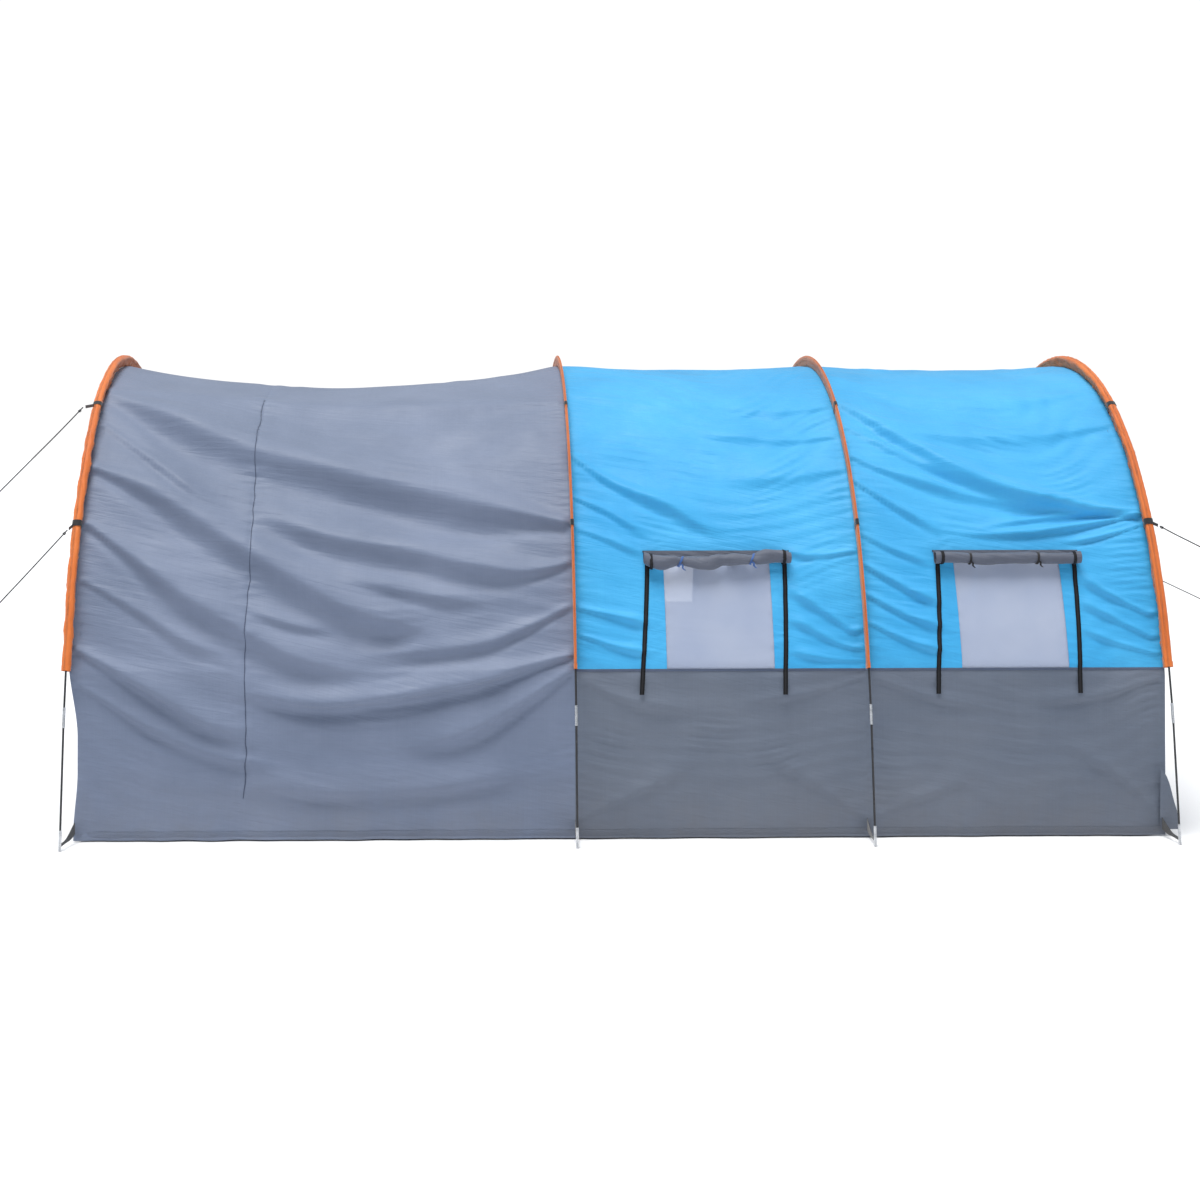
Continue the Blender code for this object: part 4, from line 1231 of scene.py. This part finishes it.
def wrap_round(name, bay, side_name, x, width, material, slant=0.0, grow=0.0008, thick=0.0016):
    """A strap pulled round the roll."""
    _, _, _, radius = roll_frame(bay, side_name)
    angle = 2 * math.pi * np.arange(36) / 36
    corners = [(-1, 0.0), (-1, 0.6), (-0.75, 1.0), (0.75, 1.0), (1, 0.6), (1, 0.0)]
    rings = []
    for across, outward in corners:
        xs = x + across * width / 2 + slant * np.sin(angle)
        size = roll_radius(bay, side_name, xs, angle, radius) + grow + thick * outward
        rings.append(ring_round(roll_axis(bay, side_name, xs), size, angle, SIDES[side_name]))
    faces = grid_faces(36, 6, wrap=True, close=True)
    uv = np.stack(np.broadcast_arrays((angle * radius)[:, None], np.linspace(0, 1, 6)[None, :]), -1)
    return mesh_object(name, np.stack(rings, 1), faces, uv, material, sharp=40)


def add_end_bands(bay, side_name):
    body = f"{bay}_cover_{side_name}"
    _, _, centre, _ = roll_frame(bay, side_name)
    for end_name, end in (("left", -1), ("right", 1)):
        x = float(centre[0]) + end * (ZIP_OFFSET - 0.014)
        item = fix(wrap_round(f"{body}_end_{end_name}", bay, side_name, x, 0.013, ZIP), body)
        press_flat(item, bay, side_name)


def add_ties(bay, side_name):
    """The ties sewn to the wall that hold the roll up, with two short tails each."""
    side = SIDES[side_name]
    body = f"{bay}_cover_{side_name}"
    low, high, _, radius = roll_frame(bay, side_name)
    for number, (share, material) in enumerate(TIES[bay], 1):
        x = float(low[0]) + share * float(high[0] - low[0])
        slot, slant = ("webbing", 0.002) if material is WEBBING else ("blue_cloth", 0.010)
        item = wrap_round(f"{body}_tie_{number}", bay, side_name, x, 0.010, material, slant, 0.0012)
        fix(item, "tent")
        press_flat(item, bay, side_name)
        start = roll_axis(bay, side_name, np.array([x]))[0]
        run = np.linspace(0, 1, 14)
        for tail, length, lean in ((1, 0.016, -0.008), (2, 0.030, 0.018)):
            line = np.stack([
                x + lean * run + 0.003 * np.sin(7 * run),
                start[1] + side * (radius * 0.80 + 0.006 - 0.008 * run),
                start[2] - radius * 0.35 - length * run,
            ], -1)
            name = f"{body}_tail_{number}_{tail}"
            strip = ribbon(name, line, (1, 0.2 * side, 0), (0, side, 0.1), 0.008, 0.0012, material)
            fix(strip, "tent")


def add_zips(bay, side_name):
    """The black zip tapes down both sides of a window, with loose lower ends."""
    side = SIDES[side_name]
    _, _, centre, _ = roll_frame(bay, side_name)
    heights = np.linspace(1.222, 0.632, 60)
    loose = smooth(-heights, -0.735, -0.64)
    for end_name, end in (("left", -1), ("right", 1)):
        sway = 0.004 * np.sin(5.0 * (heights - 0.6) + end)
        xs = float(centre[0]) + end * ZIP_OFFSET + sway - 0.030 * (heights[0] - heights) / 0.48
        line, out = on_cloth(bay, xs, heights, side, 0.0018)
        line = line + out * (0.016 * loose)[:, None]
        name = f"{bay}_zip_{side_name}_{end_name}"
        fix(ribbon(name, line, (1, 0, 0), out, 0.020, 0.0018, ZIP), "tent")


for bay in ROOMS:
    for side_name in SIDES:
        add_roll(bay, side_name)
        add_fall(bay, side_name)
        add_end_bands(bay, side_name)
        add_ties(bay, side_name)
        add_zips(bay, side_name)

# ---- End walls and doors ----------------------------------------------------------------------

RAY_CENTRE = (0.0, 0.93)
DOOR_HALF = span("front_door", 1) / 2
DOOR_LOW = float(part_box("front_door")[0][2])
DOOR_HIGH = float(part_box("front_door")[1][2])
DOOR_CORNER = 0.38
DOOR_GAP = 0.006


def outline_by_angle(line, angles):
    """How far a closed outline lies from the centre at each angle."""
    line = np.asarray(line) - RAY_CENTRE
    line = np.concatenate([line, line[:1]])
    fine = np.concatenate([a + (b - a) * np.linspace(0, 1, 60)[:-1, None] for a, b in zip(line, line[1:])])
    angle = np.arctan2(fine[:, 1], fine[:, 0])
    order = np.argsort(angle)
    return np.interp(angles, angle[order], np.hypot(*fine.T)[order], period=2 * math.pi)


def door_line(grow):
    """The door's outline, grown on every side, from one bottom corner over the top to the other."""
    half, low, high, radius = DOOR_HALF + grow, DOOR_LOW - grow, DOOR_HIGH + grow, DOOR_CORNER + grow
    turn = np.linspace(0, math.pi / 2, 16)
    corner = np.stack([half - radius + radius * np.cos(turn), high - radius + radius * np.sin(turn)], -1)
    right = np.concatenate([[[half, low]], corner])
    return np.concatenate([right, right[::-1] * [-1, 1]])


def wall_line(bay, x):
    """The end wall's outline, just inside the cloth of its bay."""
    vs, sides = both_sides(spread(0.0, V_HEM, 0.03))
    points, _ = cloth_at(bay, x, vs, sides, lift=-0.0065, folds=False)
    return points[:, 1:]


def on_rays(angles, reach):
    """Points of an end wall at distances from the centre along rays."""
    return reach * np.cos(angles)[:, None] + RAY_CENTRE[0], reach * np.sin(angles)[:, None] + RAY_CENTRE[1]


def add_end_wall(name, x, outward, angles, rim, seed):
    """The cloth between the door's opening and the wall's outline, one row of points for each ray."""
    opening = outline_by_angle(door_line(DOOR_GAP), angles)
    share = np.linspace(0, 1, 22)
    depth = outline_by_angle(rim, angles) - opening
    y, z = on_rays(angles, opening[:, None] + depth[:, None] * share[None, :])
    pinned = np.minimum(share, 1 - share)[None, :]
    fan = np.sin(angles[:, None] * 23 + 2.0 * ripples(y, z, seed, 6, 0.9, 0.3))
    sway = 0.0075 * ripples(y, z, seed + 1, 10, 0.8, 0.2) + 0.0028 * fan
    points = np.stack([x + outward * sway * smooth(pinned, 0.0, 0.22), y, z], -1)
    faces = grid_faces(len(angles), len(share), close=True)
    wall = mesh_object(f"{name}_wall_cloth", points, faces, np.stack([y, z], -1), GREY)
    add_sheet(wall, f"{name}_wall")


def add_door(body, x, outward, angles, seed):
    share = np.linspace(0.02, 1, 24)
    y, z = on_rays(angles, outline_by_angle(door_line(0), angles)[:, None] * share[None, :])
    sway = 0.0060 * ripples(y, z, seed + 2, 10, 0.7, 0.18) * smooth(1 - share, 0.0, 0.2)[None, :]
    points = np.stack([x + outward * sway, y, z], -1).reshape(-1, 3)
    centre = [[x + outward * float(sway[:, 0].mean()), *RAY_CENTRE]]
    faces = grid_faces(len(angles), len(share), close=True).tolist()
    # a fan of triangles closes the door's middle
    inner = np.arange(len(angles)) * len(share)
    faces += [[len(points), int(b), int(a)] for a, b in zip(inner, np.roll(inner, -1))]
    uv = np.concatenate([np.stack([y, z], -1).reshape(-1, 2), [RAY_CENTRE]])
    door = mesh_object(f"{body}_cloth", np.concatenate([points, centre]), faces, uv, GREY)
    fix(door, body)
    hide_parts(body)


def add_end(name, bay, arch):
    x = middle(f"{name}_wall", 0)
    outward = 1 if arch == "d" else -1
    rim = wall_line(bay, x)
    door_feet = [(DOOR_HALF, DOOR_LOW), (-DOOR_HALF, DOOR_LOW)]
    corners = [math.atan2(z - RAY_CENTRE[1], y) for y, z in [rim[0], rim[-1], *door_feet]]
    angles = np.sort(np.concatenate([np.linspace(-math.pi, math.pi, 181)[:-1], corners]))
    body = f"{name}_door"
    add_end_wall(name, x, outward, angles, rim, ord(arch))
    add_door(body, x, outward, angles, ord(arch))
    add_door_zip(name, body, x, outward)
    add_door_hinge(name, x, outward)
    paint(f"{name}_zip_slider", SLIDER)


def zip_route(grow):
    """From the hinge end of the door's top, over the free corner, down and along the bottom."""
    line = door_line(grow)
    half = len(line) // 2
    top_and_free = line[half - 1 :]
    bottom = np.array([[line[-1][0], line[-1][1]], [line[0][0], line[0][1]]])
    route = np.concatenate([top_and_free, bottom[1:]])
    fine = [a + (b - a) * np.linspace(0, 1, max(2, int(np.linalg.norm(b - a) / 0.02)) + 1)[:-1, None]
            for a, b in zip(route, route[1:])]
    return np.concatenate([*fine, route[-1:]])


def add_door_zip(name, body, x, outward):
    """One zip tape on the door, and one on the wall beside it."""
    for part, grow, rider in (("tape", -0.006, body), ("track", DOOR_GAP + 0.006, "tent")):
        route = zip_route(grow)
        line = np.stack([x + outward * 0.0030 + route[:, 0] * 0, route[:, 0], route[:, 1]], -1)
        direction = np.gradient(line, axis=0)
        direction /= np.linalg.norm(direction, axis=1)[:, None]
        across = np.cross(direction, (outward, 0, 0))
        item = ribbon(f"{name}_zip_{part}", line, across, (outward, 0, 0), 0.012, 0.0018, ZIP)
        fix(item, rider)


def add_door_hinge(name, x, outward):
    """The strip of cloth that joins the door to the wall along its hinge."""
    ys = np.linspace(DOOR_HALF + DOOR_GAP + 0.010, DOOR_HALF - 0.010, 11)
    zs = spread(DOOR_LOW, DOOR_HIGH - DOOR_CORNER, 0.03)
    points = np.stack(np.broadcast_arrays(x + outward * 0.0022, ys[:, None], zs[None, :]), -1)
    uv = np.stack(np.broadcast_arrays(ys[:, None], zs[None, :]), -1)
    item = mesh_object(f"{name}_hinge_strip", points, grid_faces(len(ys), len(zs)), uv, GREY)
    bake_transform(item)


add_end("front", "porch", "a")
add_end("rear", "rear", "d")

# ---- Groundsheet ------------------------------------------------------------------------------


def add_groundsheet():
    low, high = (np.array(corner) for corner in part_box("groundsheet"))
    xs = spread(float(low[0]), float(high[0]), 0.03)
    ys = spread(float(low[1]), float(high[1]), 0.03)
    x, y = np.meshgrid(xs, ys, indexing="ij")
    edge = np.minimum(np.minimum(x - low[0], high[0] - x), np.minimum(y - low[1], high[1] - y))
    creases = 0.0016 * ripples(x, y, 21, 12, 0.9, 0.15) * smooth(edge, 0.0, 0.08)
    z = float(high[2]) + 0.0005 + np.abs(creases)
    points, uv = np.stack([x, y, z], -1), np.stack([x, y], -1)
    item = mesh_object("groundsheet_cloth", points, grid_faces(len(xs), len(ys)), uv, FLOOR)
    add_sheet(item, "groundsheet")
    for side_name, side in SIDES.items():
        line = np.stack([xs, xs * 0 + side * (float(high[1]) - 0.008), xs * 0 + float(high[2])], -1)
        welt = ribbon(f"groundsheet_welt_{side_name}", line, (0, 1, 0), (0, 0, 1), 0.016, 0.0030, FLOOR)
        fix(welt, "tent")


add_groundsheet()


# ---- Ground and light -------------------------------------------------------------------------



def add_ground(half=60):
    mesh = bpy.data.meshes.new("ground")
    corners = [(-half, -half, 0), (half, -half, 0), (half, half, 0), (-half, half, 0)]
    mesh.from_pydata(corners, [], [(0, 1, 2, 3)])
    ground = bpy.data.objects.new("ground", mesh)
    ground.location.z = -0.001
    SCENE.objects.link(ground)
    pale = bpy.data.materials.new("pale_floor")
    pale.use_nodes = True
    shader = pale.node_tree.nodes["Principled BSDF"]
    shader.inputs["Base Color"].default_value = (0.86, 0.86, 0.87, 1)
    shader.inputs["Roughness"].default_value = 0.9
    mesh.materials.append(pale)


def add_sky():
    """A soft blue light from all round, and a white backdrop where the camera sees past the ground."""
    world = bpy.data.worlds.new("studio")
    bpy.context.scene.world = world
    world.use_nodes = True
    nodes, links = world.node_tree.nodes, world.node_tree.links
    light = nodes["Background"]
    light.inputs["Color"].default_value = (0.86, 0.93, 1.0, 1)
    light.inputs["Strength"].default_value = 0.41
    backdrop = nodes.new("ShaderNodeBackground")
    backdrop.inputs["Color"].default_value = (1.0, 1.0, 1.0, 1)
    backdrop.inputs["Strength"].default_value = 1.05
    seen = nodes.new("ShaderNodeLightPath")
    choice = nodes.new("ShaderNodeMixShader")
    links.new(seen.outputs["Is Camera Ray"], choice.inputs[0])
    links.new(light.outputs[0], choice.inputs[1])
    links.new(backdrop.outputs[0], choice.inputs[2])
    links.new(choice.outputs[0], nodes["World Output"].inputs["Surface"])


def area_light(name, place, aim, size, power, colour):
    data = bpy.data.lights.new(name, "AREA")
    data.shape = "RECTANGLE"
    data.size, data.size_y = size
    data.energy = power
    data.color = colour
    item = bpy.data.objects.new(name, data)
    item.location = place
    item.rotation_euler = (Vector(aim) - Vector(place)).to_track_quat("-Z", "Y").to_euler()
    SCENE.objects.link(item)


def sun_light(name, towards, strength, softness, colour):
    data = bpy.data.lights.new(name, "SUN")
    data.energy = strength
    data.angle = softness
    data.color = colour
    item = bpy.data.objects.new(name, data)
    item.rotation_euler = Vector(towards).to_track_quat("-Z", "Y").to_euler()
    SCENE.objects.link(item)


add_ground()
add_sky()
sun_light("key", (0.14, 0.16, -1.0), 3.6, math.radians(34), (1.0, 0.99, 0.97))
area_light("front", (-2.0, -11.0, 3.2), (0.0, 0.0, 1.0), (8.0, 3.0), 52, (0.94, 0.97, 1.0))

bpy.context.scene.view_settings.view_transform = "Standard"
